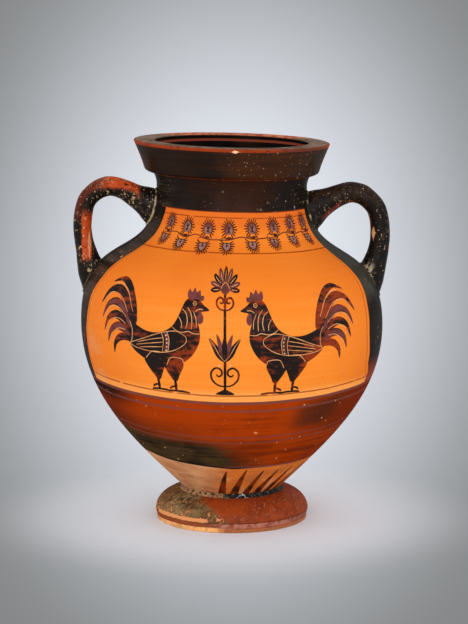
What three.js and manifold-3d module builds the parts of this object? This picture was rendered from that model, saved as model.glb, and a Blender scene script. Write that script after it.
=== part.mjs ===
// A terracotta amphora whose body and neck are one continuous curve, made as a potter makes it:
// a foot, a bowl, an upper body, a neck and a mouth thrown apart and joined with wet clay,
// then two rolled handles set on with a collar of clay round each root.
// Millimetres, +Z up, the front faces -Y, and the origin is the centre of the ring it stands on.
import * as THREE from "three";
import { mergeVertices } from "three/addons/utils/BufferGeometryUtils.js";
import Module from "manifold-3d";

const wasm = await Module();
wasm.setup();

// Heights, stacked from the ground up
const footHeight = 30; // ground to the bowl's underside
const bowlRise = 111; // bowl's underside to the seam where the upper body starts
const seamToBelly = 58; // that seam to the widest level
const shoulderRise = 118; // widest level to the seam where the neck starts
const throatRise = 19; // that seam to the narrowest level of the neck
const collarRise = 12; // narrowest level to the seam where the mouth starts
const mouthHeight = 32; // mouth's underside to the rim

// Radii of the outside
const baseRadius = 46; // bowl where it stands on the foot
const bellyRadius = 150.5;
const throatRadius = 74.5;
const neckFlare = 3.5; // growth of the neck from its narrowest level up to the mouth
const mouthOverhang = 8.5; // step out from the neck to the mouth's lower corner
const mouthFlare = 10.5; // growth of the mouth from its lower corner up to the rim

// Fullness of the body's curve
const baseFlareDegrees = 44; // slope of the bowl's wall at the foot, from the level
const basePull = 73; // how far the curve keeps to that slope
const bellyPullBelow = 71; // how far it keeps upright below the belly
const bellyPullAbove = 95; // the same above the belly
const throatPull = 86; // and below the throat

// Walls
const bowlWall = 8;
const shoulderWall = 6;
const neckWall = 7;
const floorThickness = 10;
const floorDish = 2; // how far the floor's middle lies below its edge
const rimWidth = 21; // flat top of the mouth, from its outer edge to its inner one
const rimRounding = 1.2;
const underRise = 4; // height of the sloping underside that leads out to the mouth's lower corner

// Foot
const footRadius = 76.8;
const footEdgeHeight = 9; // ground to the widest level of the foot
const footShelf = 2; // level rim of the foot's top outside the bowl
const footTuck = 2; // how far the edge draws in again down to the ground
const standingWidth = 11; // ring that touches the ground
const footOpening = 26; // radius of the ring's opening, where the bowl's underside shows
const footThickness = 9; // clay between the bowl and the top of the hollow under the foot

// Joints between the thrown sections
const bevelRise = 4; // the lower section's rim is cut to a bevel that rises inwards by this much
const lutingCoilHeight = 14; // coil of clay pressed over a seam on the inside
const lutingCoilThickness = 3;
const footFilletHeight = 5; // bead of clay in the corner between the bowl and the foot
const footFilletReach = 5;
const clearance = 0.3; // thickness of the slip film between clay pieces with curved faces

// Handles
const handleRadius = 9.1; // rod, half its thickness
const handleInset = 2.1; // widest level of the body in to the middle of the rod where it stands out furthest
const handleLift = 14.8; // neck's seam up to the middle of the rod at its crown
const handleDrop = 87; // neck's seam down to the end of the rod in the shoulder
const handleCollarWidth = 3.6;
const handleCollarThickness = 2.2;

// The upper half settled a little to one side in drying: its levels rise towards -X
const leanSlope = 0.025;
const leanStart = 60;
const leanEnd = 280;

// Resolution
const turnSteps = 48;
const bowlSteps = 10;
const shoulderSteps = 14;
const footSteps = 6;
const collarSteps = 2;
const leastStep = 0.3; // outline points closer to a cut than this are left out
const rodSides = 14;
const rodSteps = 24;

// Levels worked out from the heights above
const seamHeight = footHeight + bowlRise;
const bellyHeight = seamHeight + seamToBelly;
const neckSeamHeight = bellyHeight + shoulderRise;
const throatHeight = neckSeamHeight + throatRise;
const mouthSeamHeight = throatHeight + collarRise;
const rimHeight = mouthSeamHeight + mouthHeight;
const neckTopRadius = throatRadius + neckFlare;
const mouthBaseRadius = neckTopRadius + mouthOverhang;
const rimRadius = mouthBaseRadius + mouthFlare;

const point = (radius, height) => new THREE.Vector2(radius, height);

// The outside of the body, from the foot's top to the mouth's underside, as points of radius and height
function bodyOutline() {
  const flare = THREE.MathUtils.degToRad(baseFlareDegrees);
  const bowl = new THREE.CubicBezierCurve(
    point(baseRadius, footHeight),
    point(baseRadius + basePull * Math.cos(flare), footHeight + basePull * Math.sin(flare)),
    point(bellyRadius, bellyHeight - bellyPullBelow),
    point(bellyRadius, bellyHeight),
  );
  const shoulder = new THREE.CubicBezierCurve(
    point(bellyRadius, bellyHeight),
    point(bellyRadius, bellyHeight + bellyPullAbove),
    point(throatRadius, throatHeight - throatPull),
    point(throatRadius, throatHeight),
  );
  const collar = new THREE.QuadraticBezierCurve(
    point(throatRadius, throatHeight),
    point(throatRadius, throatHeight + collarRise / 2),
    point(neckTopRadius, mouthSeamHeight),
  );
  return [
    ...bowl.getPoints(bowlSteps),
    ...shoulder.getPoints(shoulderSteps).slice(1),
    ...collar.getPoints(collarSteps).slice(1),
  ];
}

// Wall thickness at a height: the bowl's at the foot, thinner at the shoulder, the neck's from its seam up
function wallAt(height) {
  const rising = THREE.MathUtils.smoothstep(height, footHeight, bellyHeight);
  const closing = THREE.MathUtils.smoothstep(height, bellyHeight, neckSeamHeight);
  const lower = THREE.MathUtils.lerp(bowlWall, shoulderWall, rising);
  return THREE.MathUtils.lerp(lower, neckWall, closing);
}

// An outline moved square to itself: depth is a function of height, and a positive depth goes inwards
function inset(outline, depth) {
  return outline.map((p, i) => {
    const before = outline[Math.max(i - 1, 0)];
    const after = outline[Math.min(i + 1, outline.length - 1)];
    const along = after.clone().sub(before).normalize();
    const d = depth(p.y);
    return point(p.x - along.y * d, p.y + along.x * d);
  });
}

function radiusAt(outline, height) {
  const i = outline.findIndex((p) => p.y >= height);
  if (i <= 0) return outline[i === 0 ? 0 : outline.length - 1].x;
  const [a, b] = [outline[i - 1], outline[i]];
  return THREE.MathUtils.lerp(a.x, b.x, (height - a.y) / (b.y - a.y));
}

// The stretch of an outline between two heights, from the lower one up
function between(outline, low, high) {
  const kept = outline.filter((p) => p.y > low + leastStep && p.y < high - leastStep);
  return [point(radiusAt(outline, low), low), ...kept, point(radiusAt(outline, high), high)];
}

const outside = bodyOutline();
const inside = inset(outside, wallAt);

// A closed outline of radius and height, given anticlockwise, turned about the Z axis
function turned(outline) {
  const geometry = new THREE.LatheGeometry([...outline, outline[0]], turnSteps);
  return geometry.rotateX(Math.PI / 2);
}

// The same, mirrored: its facets then fall on those of the plainly turned sections above and below it
function turnedToMatch(outline) {
  const geometry = turned(outline).scale(-1, 1, 1);
  return geometry.setIndex([...geometry.index.array].reverse());
}

function toSolid(geometry) {
  const bare = geometry.clone();
  bare.deleteAttribute("normal");
  bare.deleteAttribute("uv");
  const merged = mergeVertices(bare);
  const vertProperties = merged.attributes.position.array;
  return new wasm.Manifold(new wasm.Mesh({ numProp: 3, vertProperties, triVerts: merged.index.array }));
}

function toGeometry(solid) {
  const mesh = solid.getMesh();
  const geometry = new THREE.BufferGeometry();
  geometry.setAttribute("position", new THREE.BufferAttribute(mesh.vertProperties, 3));
  geometry.setIndex(new THREE.BufferAttribute(mesh.triVerts, 1));
  return geometry;
}

// Thrown sections

// A quarter of an ellipse, from its outermost point up to its top
function quarter(innerRadius, outerRadius, low, high) {
  const points = [];
  for (let i = 0; i <= footSteps; i++) {
    const angle = (i / footSteps) * (Math.PI / 2);
    const radius = innerRadius + (outerRadius - innerRadius) * Math.cos(angle);
    points.push(point(radius, low + (high - low) * Math.sin(angle)));
  }
  return points;
}

function foot() {
  const standingRadius = footRadius - footTuck;
  const hollow = quarter(footOpening, standingRadius - standingWidth, 0, footHeight - footThickness);
  return turned([
    point(standingRadius, 0),
    point(footRadius - footTuck / 2, footEdgeHeight / 2),
    ...quarter(baseRadius + footShelf, footRadius, footEdgeHeight, footHeight),
    point(footOpening, footHeight),
    ...hollow.reverse(),
  ]);
}

function bowl() {
  const floorHeight = footHeight + floorThickness;
  const lining = between(inside, floorHeight, seamHeight + bevelRise).reverse();
  return turned([
    point(0, footHeight),
    ...between(outside, footHeight, seamHeight),
    ...lining,
    point(0, floorHeight - floorDish),
  ]);
}

function upperBody() {
  const lining = between(inside, seamHeight + bevelRise, neckSeamHeight + bevelRise).reverse();
  return turnedToMatch([...between(outside, seamHeight, neckSeamHeight), ...lining]);
}

function neck() {
  const lining = between(inside, neckSeamHeight + bevelRise, mouthSeamHeight).reverse();
  return turned([...between(outside, neckSeamHeight, mouthSeamHeight), ...lining]);
}

function mouth() {
  const innerRim = rimRadius - rimWidth;
  return turnedToMatch([
    point(radiusAt(inside, mouthSeamHeight), mouthSeamHeight),
    point(neckTopRadius, mouthSeamHeight),
    point(mouthBaseRadius - mouthOverhang / 2, mouthSeamHeight + underRise / 4),
    point(mouthBaseRadius, mouthSeamHeight + underRise),
    point(rimRadius, rimHeight - rimRounding),
    point(rimRadius - rimRounding, rimHeight),
    point(innerRim + rimRounding, rimHeight),
    point(innerRim, rimHeight - rimRounding),
  ]);
}

// Clay that joins them

// A coil pressed flat over a seam on the inside, where its bulge still shows
function seamCoil(height) {
  const low = height - lutingCoilHeight / 2;
  const high = height + lutingCoilHeight / 2;
  const wallSide = between(inset(outside, (z) => wallAt(z) + clearance), low, high);
  const bulge = point(radiusAt(inside, height) - lutingCoilThickness, height);
  return turned([...wallSide, bulge]);
}

function footFillet() {
  const top = footHeight + footFilletHeight;
  const wallSide = between(inset(outside, () => -clearance), footHeight + clearance, top).reverse();
  const toe = baseRadius + footShelf + footFilletReach;
  return turned([point(toe, footHeight + clearance / 2), ...wallSide]);
}

// Handles

// The middle of the rod, from the neck's root to the shoulder's: shares of the way from the throat out
// to the rod's reach, and from the rod's lower end up to its crown
const handleRouteShares = [
  [-0.3, 0.71],
  [-0.06, 0.766],
  [0.115, 0.85],
  [0.277, 0.909],
  [0.44, 0.968],
  [0.595, 1],
  [0.744, 0.98],
  [0.859, 0.921],
  [0.946, 0.84],
  [0.989, 0.722],
  [1, 0.59],
  [0.976, 0.442],
  [0.927, 0.314],
  [0.859, 0.177],
  [0.737, 0],
];
// Half thickness of the rod in the plane of the loop, and across it, as shares of the plain rod's
const handleInPlaneShares = [2.1, 2.1, 1.75, 1.32, 1.12, 1.08, 1.07, 1.03, 1, 1, 1, 1.05, 1.22, 1.5, 1.5];
const handleAcrossShares = [1.5, 1.5, 1.35, 1.15, 1.05, 1.02, 1, 1, 1, 1, 1, 1.05, 1.2, 1.35, 1.4];

function shareAlong(shares, t) {
  const place = t * (shares.length - 1);
  const i = Math.min(Math.floor(place), shares.length - 2);
  return THREE.MathUtils.lerp(shares[i], shares[i + 1], place - i);
}

// A rod of oval section along the handle's route, grown by extra all round; side is 1 for +X, -1 for -X
function handleRod(side, extra) {
  const crown = neckSeamHeight + handleLift;
  const lowerEnd = neckSeamHeight - handleDrop;
  const handleReach = bellyRadius - handleInset;
  const route = handleRouteShares.map(([out, up]) => {
    const reach = THREE.MathUtils.lerp(throatRadius, handleReach, out);
    return new THREE.Vector3(side * reach, 0, THREE.MathUtils.lerp(lowerEnd, crown, up));
  });
  const curve = new THREE.CatmullRomCurve3(route, false, "centripetal");
  const positions = [];
  const across = new THREE.Vector3(0, 1, 0);
  for (let i = 0; i <= rodSteps; i++) {
    const t = i / rodSteps;
    const centre = curve.getPoint(t);
    const outwards = across.clone().cross(curve.getTangent(t));
    const inPlane = handleRadius * shareAlong(handleInPlaneShares, t) + extra;
    const sideways = handleRadius * shareAlong(handleAcrossShares, t) + extra;
    for (let k = 0; k < rodSides; k++) {
      const angle = (k / rodSides) * 2 * Math.PI;
      const spot = centre.clone().addScaledVector(outwards, inPlane * Math.cos(angle));
      spot.addScaledVector(across, sideways * Math.sin(angle));
      positions.push(...spot.toArray());
    }
  }
  positions.push(...curve.getPoint(0).toArray(), ...curve.getPoint(1).toArray());
  const startCap = (rodSteps + 1) * rodSides;
  const index = [];
  for (let k = 0; k < rodSides; k++) {
    const next = (k + 1) % rodSides;
    for (let i = 0; i < rodSteps; i++) {
      const [a, b] = [i * rodSides + k, i * rodSides + next];
      index.push(a, b, b + rodSides, a, b + rodSides, a + rodSides);
    }
    const last = rodSteps * rodSides;
    index.push(startCap, next, k, startCap + 1, last + k, last + next);
  }
  const geometry = new THREE.BufferGeometry();
  geometry.setAttribute("position", new THREE.Float32BufferAttribute(positions, 3));
  return toSolid(geometry.setIndex(index));
}

// The whole body filled to its axis and grown by extra, which the handles' roots are cut to
function filledBody(extra) {
  const grown = between(inset(outside, () => -extra), seamHeight, mouthSeamHeight);
  return toSolid(turned([point(0, seamHeight), ...grown, point(0, mouthSeamHeight)]));
}

const handleCutter = filledBody(clearance);

function handle(side) {
  return toGeometry(handleRod(side, 0).subtract(handleCutter));
}

// The collars of clay round a handle's two roots, the lower one first
function handleCollars(side) {
  const wide = handleRod(side, clearance + handleCollarWidth);
  const near = wide.intersect(filledBody(clearance + handleCollarThickness));
  const collars = near.subtract(handleCutter).subtract(handleRod(side, clearance)).decompose();
  const middle = (solid) => (solid.boundingBox().min[2] + solid.boundingBox().max[2]) / 2;
  const byHeight = collars.sort((a, b) => middle(a) - middle(b));
  return [toGeometry(byHeight[0]), toGeometry(byHeight[byHeight.length - 1])];
}

// Materials

const blackSlip = new THREE.MeshStandardMaterial({ color: 0x241a15, roughness: 0.35, metalness: 0 });
const redSlip = new THREE.MeshStandardMaterial({ color: 0x7f2c10, roughness: 0.4, metalness: 0 });
const clay = new THREE.MeshStandardMaterial({ color: 0xd27a38, roughness: 0.6, metalness: 0 });

// Assembly

const amphora = new THREE.Group();

// The lean is worked into every piece alike, so that they stay in touch
function place(name, geometry, material) {
  const position = geometry.attributes.position;
  for (let i = 0; i < position.count; i++) {
    const [x, z] = [position.getX(i), position.getZ(i)];
    position.setZ(i, z - leanSlope * x * THREE.MathUtils.smoothstep(z, leanStart, leanEnd));
  }
  geometry.computeVertexNormals();
  const mesh = new THREE.Mesh(geometry, material);
  mesh.name = name;
  amphora.add(mesh);
}

place("foot", foot(), redSlip);
place("foot_joint_fillet", footFillet(), blackSlip);
place("bowl", bowl(), redSlip);
place("belly_seam_coil", seamCoil(seamHeight + bevelRise / 2), clay);
place("upper_body", upperBody(), clay);
place("neck_seam_coil", seamCoil(neckSeamHeight + bevelRise / 2), clay);
place("neck", neck(), blackSlip);
place("mouth", mouth(), blackSlip);
for (const [word, side] of [["left", -1], ["right", 1]]) {
  place(`handle_${word}`, handle(side), blackSlip);
  const [lower, upper] = handleCollars(side);
  place(`handle_${word}_shoulder_collar`, lower, blackSlip);
  place(`handle_${word}_neck_collar`, upper, blackSlip);
}

export default amphora;
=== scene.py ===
import math
from bisect import bisect_left

import bmesh
import bpy
from bpy.props import FloatProperty, FloatVectorProperty, IntProperty, PointerProperty
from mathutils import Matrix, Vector, noise


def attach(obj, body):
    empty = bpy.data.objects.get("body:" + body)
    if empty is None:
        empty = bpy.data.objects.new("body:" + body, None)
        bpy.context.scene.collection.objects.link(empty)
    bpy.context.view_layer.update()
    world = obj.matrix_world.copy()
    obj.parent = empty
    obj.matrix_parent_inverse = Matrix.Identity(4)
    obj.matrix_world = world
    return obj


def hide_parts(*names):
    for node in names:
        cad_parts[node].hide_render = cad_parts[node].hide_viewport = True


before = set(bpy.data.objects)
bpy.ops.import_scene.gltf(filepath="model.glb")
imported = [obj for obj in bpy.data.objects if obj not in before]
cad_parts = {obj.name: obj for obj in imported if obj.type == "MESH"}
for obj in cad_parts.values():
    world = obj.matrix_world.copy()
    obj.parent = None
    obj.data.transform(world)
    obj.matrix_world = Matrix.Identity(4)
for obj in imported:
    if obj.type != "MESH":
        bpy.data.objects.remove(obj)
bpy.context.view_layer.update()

bl_info = {
    "name": "Painted terracotta amphora",
    "version": (1, 0, 0),
    "blender": (4, 5, 0),
    "location": "3D View > Sidebar > Amphora",
    "description": "The amphora's turned pieces, handles, painted ornament and worn slip",
    "category": "Add Mesh",
}

MM = 0.001


def length(name, description, value):
    """A size in metres that a user can change."""
    return FloatProperty(name=name, description=description, default=value, min=0.0,
                         subtype="DISTANCE", unit="LENGTH", precision=4)


def linear(channel):
    """A screen value from 0 to 255 as the light that a shader works in."""
    share = channel / 255
    return share / 12.92 if share <= 0.04045 else ((share + 0.055) / 1.055) ** 2.4


def tint(red, green, blue):
    """A colour as it is seen on a screen, made linear."""
    return tuple(linear(channel) for channel in (red, green, blue))


def colour(name, description, red, green, blue):
    """A paint or clay colour that a user can change."""
    return FloatVectorProperty(name=name, description=description, size=3, min=0.0, max=1.0,
                               default=tint(red, green, blue), subtype="COLOR")


class AmphoraSizes(bpy.types.PropertyGroup):
    """The potter's sizes, as the solid model has them."""
    foot_height: length("Foot height", "Top of the foot, where the bowl stands on it", 0.030)
    bowl_seam: length("Bowl seam", "Height at which the bowl and the shoulder are luted", 0.141)
    belly_height: length("Belly height", "Height of the widest place", 0.199)
    neck_seam: length("Neck seam", "Height at which the neck is luted to the shoulder", 0.317)
    throat_height: length("Throat height", "Height of the narrowest place of the neck", 0.336)
    mouth_seam: length("Mouth seam", "Height at which the mouth sits on the neck", 0.348)
    rim_height: length("Rim height", "Top of the mouth", 0.380)
    base_radius: length("Base radius", "Radius of the bowl on the foot", 0.046)
    belly_radius: length("Belly radius", "Radius at the widest place", 0.1505)
    throat_radius: length("Throat radius", "Radius at the narrowest place of the neck", 0.0745)
    collar_radius: length("Neck top radius", "Radius of the neck under the mouth", 0.078)
    rim_radius: length("Rim radius", "Outer radius of the rim", 0.097)
    rim_opening: length("Rim opening", "Inner radius of the rim", 0.076)
    foot_radius: length("Foot radius", "Radius of the foot at its edge", 0.0768)
    bowl_wall: length("Bowl wall", "Thickness of the wall low down", 0.008)
    shoulder_wall: length("Shoulder wall", "Thickness of the wall at the shoulder", 0.006)
    neck_wall: length("Neck wall", "Thickness of the wall at the neck", 0.007)
    handle_radius: length("Handle radius", "Half the thickness of a handle at its thinnest", 0.0091)
    handle_reach: length("Handle reach", "Distance of a handle's middle line from the axis", 0.1484)
    handle_crown: length("Handle crown", "Height of a handle's middle line at the top", 0.3318)
    handle_end: length("Handle end", "Height of a handle's middle line in the shoulder", 0.230)
    lean: FloatProperty(name="Lean", description="Sideways drop of the upper body per length",
                        default=0.025)
    turned_steps: IntProperty(name="Turned steps", description="Faces round a turned piece",
                              default=192, min=24)


class AmphoraColours(bpy.types.PropertyGroup):
    """Clay, slip and paint."""
    panel_clay: colour("Panel clay", "Reserved clay of the panel", 242, 134, 44)
    pale_clay: colour("Pale clay", "Lighter streaks of the panel", 250, 152, 66)
    # Also laid on the panel's sides as painted shade
    warm_clay_and_shade: colour("Warm clay", "Redder clay at the panel's sides and top", 214, 98, 34)
    base_clay: colour("Base clay", "Reserved clay above the foot", 212, 112, 44)
    worn_clay: colour("Worn clay", "Pinkish worn clay above the foot", 206, 144, 98)
    inner_clay: colour("Inner clay", "Bare clay inside the body", 128, 82, 54)
    black_slip: colour("Black slip", "Fired black slip", 24, 18, 14)
    brown_slip: colour("Brown slip", "Black slip where it is thin", 62, 34, 20)
    red_slip: colour("Red slip", "Slip that the kiln turned red", 166, 56, 6)
    # Also laid on the belly's sides as painted shade
    dark_red_and_shade: colour("Dark red slip", "Red slip where it is thick", 110, 36, 8)
    olive_slip: colour("Olive slip", "Greenish black of misfired slip", 72, 54, 30)
    purple: colour("Added red", "Purple red paint over the slip", 112, 58, 56)
    incision: colour("Incision", "Clay that shows in a scratched line", 222, 160, 106)
    white: colour("Added white", "White dots and chips", 226, 208, 178)
    # The stage colours paint the floor lighter near the amphora, as a pool of light
    stage: colour("Stage", "Floor and backdrop near the amphora", 232, 235, 241)
    stage_edge: colour("Stage edge", "Floor further away from it", 222, 223, 226)


class AmphoraOrnament(bpy.types.PropertyGroup):
    """The painter's sizes."""
    coat: length("Coat", "How far a coat of paint stands off the clay", 0.00012)
    cut: length("Cut step", "Step of the cuts that let a flat shape bend", 0.005)
    ray_count: IntProperty(name="Rays", description="Rays round the base", default=27, min=3)
    scratch: FloatProperty(name="Scratch width", description="Width of a scratched line in mm",
                           default=0.8)


def sizes():
    return bpy.context.scene.amphora_sizes


def colours():
    return bpy.context.scene.amphora_colours


def ornament():
    return bpy.context.scene.amphora_ornament


# ---------------------------------------------------------------- outlines

# The body's curve: its slope on the foot, and how far it keeps to each direction
BASE_FLARE = math.radians(44)
BASE_PULL, BELLY_PULL_BELOW, BELLY_PULL_ABOVE = 0.073, 0.071, 0.095
THROAT_PULL, COLLAR_PULL = 0.086, 0.006
BODY_STEPS, COLLAR_STEPS = 90, 8
# The sag to one side sets in between these two heights
SAG_FROM, SAG_TO = 0.060, 0.280
# The wall thins between the first two heights and thickens again between the others
THINNING, THICKENING = (0.100, 0.200), (0.280, 0.330)
# The lower section's rim is cut to a bevel that rises inwards by this much
BEVEL_RISE = 0.004


def bezier(controls, steps):
    """Points on a quadratic or cubic Bezier curve, its ends among them."""
    points = []
    for step in range(steps + 1):
        level, t = list(controls), step / steps
        while len(level) > 1:
            level = [tuple(a + (b - a) * t for a, b in zip(p, q)) for p, q in zip(level, level[1:])]
        points.append(level[0])
    return points


def ease(value, low, high):
    """0 below low, 1 above high and smooth between."""
    share = min(max((value - low) / (high - low), 0.0), 1.0)
    return share * share * (3 - 2 * share)


def radius_on(points, height):
    """Radius of a rising outline at a height."""
    place = bisect_left(points, height, key=lambda point: point[1])
    if place in (0, len(points)):
        return points[max(place - 1, 0)][0]
    (r0, h0), (r1, h1) = points[place - 1], points[place]
    return r0 + (r1 - r0) * (height - h0) / max(h1 - h0, 1e-9)


def between(points, low, high):
    """The stretch of an outline from one height to another, cut exactly there."""
    inside = [p for p in points if low + 1e-6 < p[1] < high - 1e-6]
    return [(radius_on(points, low), low)] + inside + [(radius_on(points, high), high)]


def quarter_round(radius, height, wide, tall, steps):
    """A quarter of an ellipse, from its outermost point up to its top."""
    turns = [math.pi / 2 * step / steps for step in range(steps + 1)]
    return [(radius + wide * math.cos(turn), height + tall * math.sin(turn)) for turn in turns]


def body_outline():
    """Outside of the body from the foot to the mouth's seam, as (radius, height)."""
    size = sizes()
    foot, belly, throat = size.foot_height, size.belly_height, size.throat_height
    lower = bezier([(size.base_radius, foot),
                    (size.base_radius + BASE_PULL * math.cos(BASE_FLARE),
                     foot + BASE_PULL * math.sin(BASE_FLARE)),
                    (size.belly_radius, belly - BELLY_PULL_BELOW),
                    (size.belly_radius, belly)], BODY_STEPS)
    upper = bezier([(size.belly_radius, belly), (size.belly_radius, belly + BELLY_PULL_ABOVE),
                    (size.throat_radius, throat - THROAT_PULL),
                    (size.throat_radius, throat)], BODY_STEPS)
    collar = bezier([(size.throat_radius, throat), (size.throat_radius, throat + COLLAR_PULL),
                     (size.collar_radius, size.mouth_seam)], COLLAR_STEPS)
    return lower + upper[1:] + collar[1:]


def wall_at(height):
    """Thickness of the wall at a height."""
    size = sizes()
    wall = size.bowl_wall + (size.shoulder_wall - size.bowl_wall) * ease(height, *THINNING)
    return wall + (size.neck_wall - wall) * ease(height, *THICKENING)


def inner_outline(depth=None):
    """The body's outline moved inwards by the wall, or by depth."""
    outer, inner = body_outline(), []
    for index, (radius, height) in enumerate(outer):
        r0, h0 = outer[max(index - 1, 0)]
        r1, h1 = outer[min(index + 1, len(outer) - 1)]
        run = math.hypot(r1 - r0, h1 - h0)
        wall = depth or wall_at(height)
        inner.append((radius - (h1 - h0) / run * wall, height + (r1 - r0) / run * wall))
    return inner


def sagged(x, height):
    """Height of a point after the body has sagged to one side."""
    return height - sizes().lean * x * ease(height, SAG_FROM, SAG_TO)


def upright(place):
    """Height of a place of the sagged body before it sagged."""
    return place.z + sizes().lean * place.x * ease(place.z, SAG_FROM, SAG_TO)


def from_axis(place):
    return math.hypot(place.x, place.y)


# ------------------------------------------------------------- mesh helpers

def select(*pieces):
    """Selects these objects alone, the first of them active."""
    bpy.ops.object.select_all(action="DESELECT")
    for piece in pieces:
        piece.select_set(True)
    if pieces:
        bpy.context.view_layer.objects.active = pieces[0]


def named(name):
    """The object that an operator has just made, under its own name."""
    piece = bpy.context.object
    piece.name = piece.data.name = name
    return piece


def open_mesh():
    """Goes into edit mode with all of the mesh selected."""
    bpy.ops.object.mode_set(mode="EDIT")
    bpy.ops.mesh.select_all(action="SELECT")


def close_mesh():
    """Merges doubles, turns the faces outwards and leaves edit mode."""
    bpy.ops.mesh.select_all(action="SELECT")
    bpy.ops.mesh.remove_doubles(threshold=1e-6)
    bpy.ops.mesh.normals_make_consistent(inside=False)
    bpy.ops.object.mode_set(mode="OBJECT")


def sag(piece):
    """Lets a finished piece sag as the fired pot does."""
    for vertex in piece.data.vertices:
        vertex.co.z = sagged(vertex.co.x, vertex.co.z)


def push_out(vertex, far, up=0.0):
    """Moves a vertex away from the wheel's axis, and up."""
    turn = math.atan2(vertex.co.y, vertex.co.x)
    vertex.co += Vector((math.cos(turn) * far, math.sin(turn) * far, up))


def line_object(points, closed, flat=False):
    """A straight-sided line through points. A flat closed one is filled."""
    select()
    bpy.ops.curve.primitive_bezier_circle_add()
    drawn = bpy.context.object
    drawn.data.splines.clear()
    line = drawn.data.splines.new("POLY")
    line.points.add(len(points) - 1)
    for point, place in zip(line.points, points):
        point.co = (*place, 1.0)
    line.use_cyclic_u = closed
    if flat:
        drawn.data.dimensions = "2D"
        drawn.data.fill_mode = "BOTH"
    return drawn


def turned(name, outline, closed=True):
    """Spins an outline of (radius, height) round the wheel's axis and closes it."""
    line_object([(r, 0.0, h) for r, h in outline], closed)
    bpy.ops.object.convert(target="MESH")
    piece = named(name)
    open_mesh()
    bpy.ops.mesh.spin(steps=sizes().turned_steps, angle=math.tau, center=(0, 0, 0),
                      axis=(0, 0, 1))
    close_mesh()
    return piece


def apply_modifier(piece, kind, **values):
    """Adds a modifier to a piece, sets it up and applies it."""
    change = piece.modifiers.new(kind.title(), kind)
    for key, value in values.items():
        setattr(change, key, value)
    select(piece)
    bpy.ops.object.modifier_apply(modifier=change.name)


def finish_piece(piece, finishes=(), nodes=(), angle=35):
    """Gives a piece its finishes and shading, hangs it on the root body and hides the solid parts
    that it stands for.
    """
    if finishes:
        piece.data.materials.clear()
    for name in finishes:
        piece.data.materials.append(finish_named(name))
    select(piece)
    bpy.ops.object.shade_smooth_by_angle(angle=math.radians(angle))
    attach(piece, "root")
    if nodes:
        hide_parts(*nodes)


# ---------------------------------------------------------- drawing helpers, in mm

def smooth_line(points, steps, closed=False):
    """A soft line through all the points."""
    count, soft = len(points), []
    for index in range(count if closed else count - 1):
        near = [points[(index + k) % count if closed else min(max(index + k, 0), count - 1)]
                for k in (-1, 0, 1, 2)]
        for step in range(steps):
            t = step / steps
            soft.append(tuple(
                0.5 * (2 * b + (c - a) * t + (2 * a - 5 * b + 4 * c - d) * t * t
                       + (3 * b - a - 3 * c + d) * t ** 3)
                for a, b, c, d in zip(*near)))
    if not closed:
        soft.append(tuple(points[-1]))
    return soft


def sides(line, width_at):
    """The outline of a line that has a width along its way."""
    left, right = [], []
    for index, (x, y) in enumerate(line):
        a, b = line[max(index - 1, 0)], line[min(index + 1, len(line) - 1)]
        dx, dy = b[0] - a[0], b[1] - a[1]
        run = math.hypot(dx, dy) or 1.0
        half = width_at(index / (len(line) - 1)) / 2
        left.append((x - dy / run * half, y + dx / run * half))
        right.append((x + dy / run * half, y - dx / run * half))
    return left + right[::-1]


def stroke(points, width, end=0.35):
    """A brush or needle line, thinner at both ends."""
    return sides(smooth_line(points, 5),
                 lambda t: width * (end + (1 - end) * math.sin(math.pi * t) ** 0.6))


def feather(points, width, fullest=0.35):
    """A leaf or tail feather: narrow at its root and pointed at its tip."""
    power = math.log(0.5) / math.log(fullest)
    return sides(smooth_line(points, 8),
                 lambda t: width * (0.18 * (1 - t) + math.sin(math.pi * t ** power) ** 0.8 + 0.02))


def blob(points, steps=4):
    """A soft closed shape through points."""
    return smooth_line(points, steps, True)


def disc(x, y, radius, count=14):
    turns = [math.tau * k / count for k in range(count)]
    return [(x + radius * math.cos(turn), y + radius * math.sin(turn)) for turn in turns]


def mirrored(points, flip=-1):
    return [(flip * x, y) for x, y in points]


def placed(points, x=0.0, y=0.0, scale=1.0, turn=0.0):
    """Points moved, sized and turned, turn in degrees."""
    c, s = math.cos(math.radians(turn)) * scale, math.sin(math.radians(turn)) * scale
    return [(x + px * c - py * s, y + px * s + py * c) for px, py in points]


def all_placed(shapes, *where):
    """Shapes of (outline, paint number, layer), each with its outline placed."""
    return [(placed(outline, *where), paint, layer) for outline, paint, layer in shapes]


def on_body(middle, across):
    """Bends the flat drawing, in mm, over the outside of the body: middle is the azimuth in
    degrees of the drawing's upright axis, and across the mm that go to one radian."""
    outer = body_outline()

    def place(x, y, lift):
        azimuth = math.radians(middle) + x / across
        height = y * MM
        slope = (radius_on(outer, height + MM) - radius_on(outer, height - MM)) / (2 * MM)
        radius = radius_on(outer, height) + lift * math.sqrt(1 + slope * slope)
        px = radius * math.sin(azimuth)
        return px, -radius * math.cos(azimuth), sagged(px, height)
    return place


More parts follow.
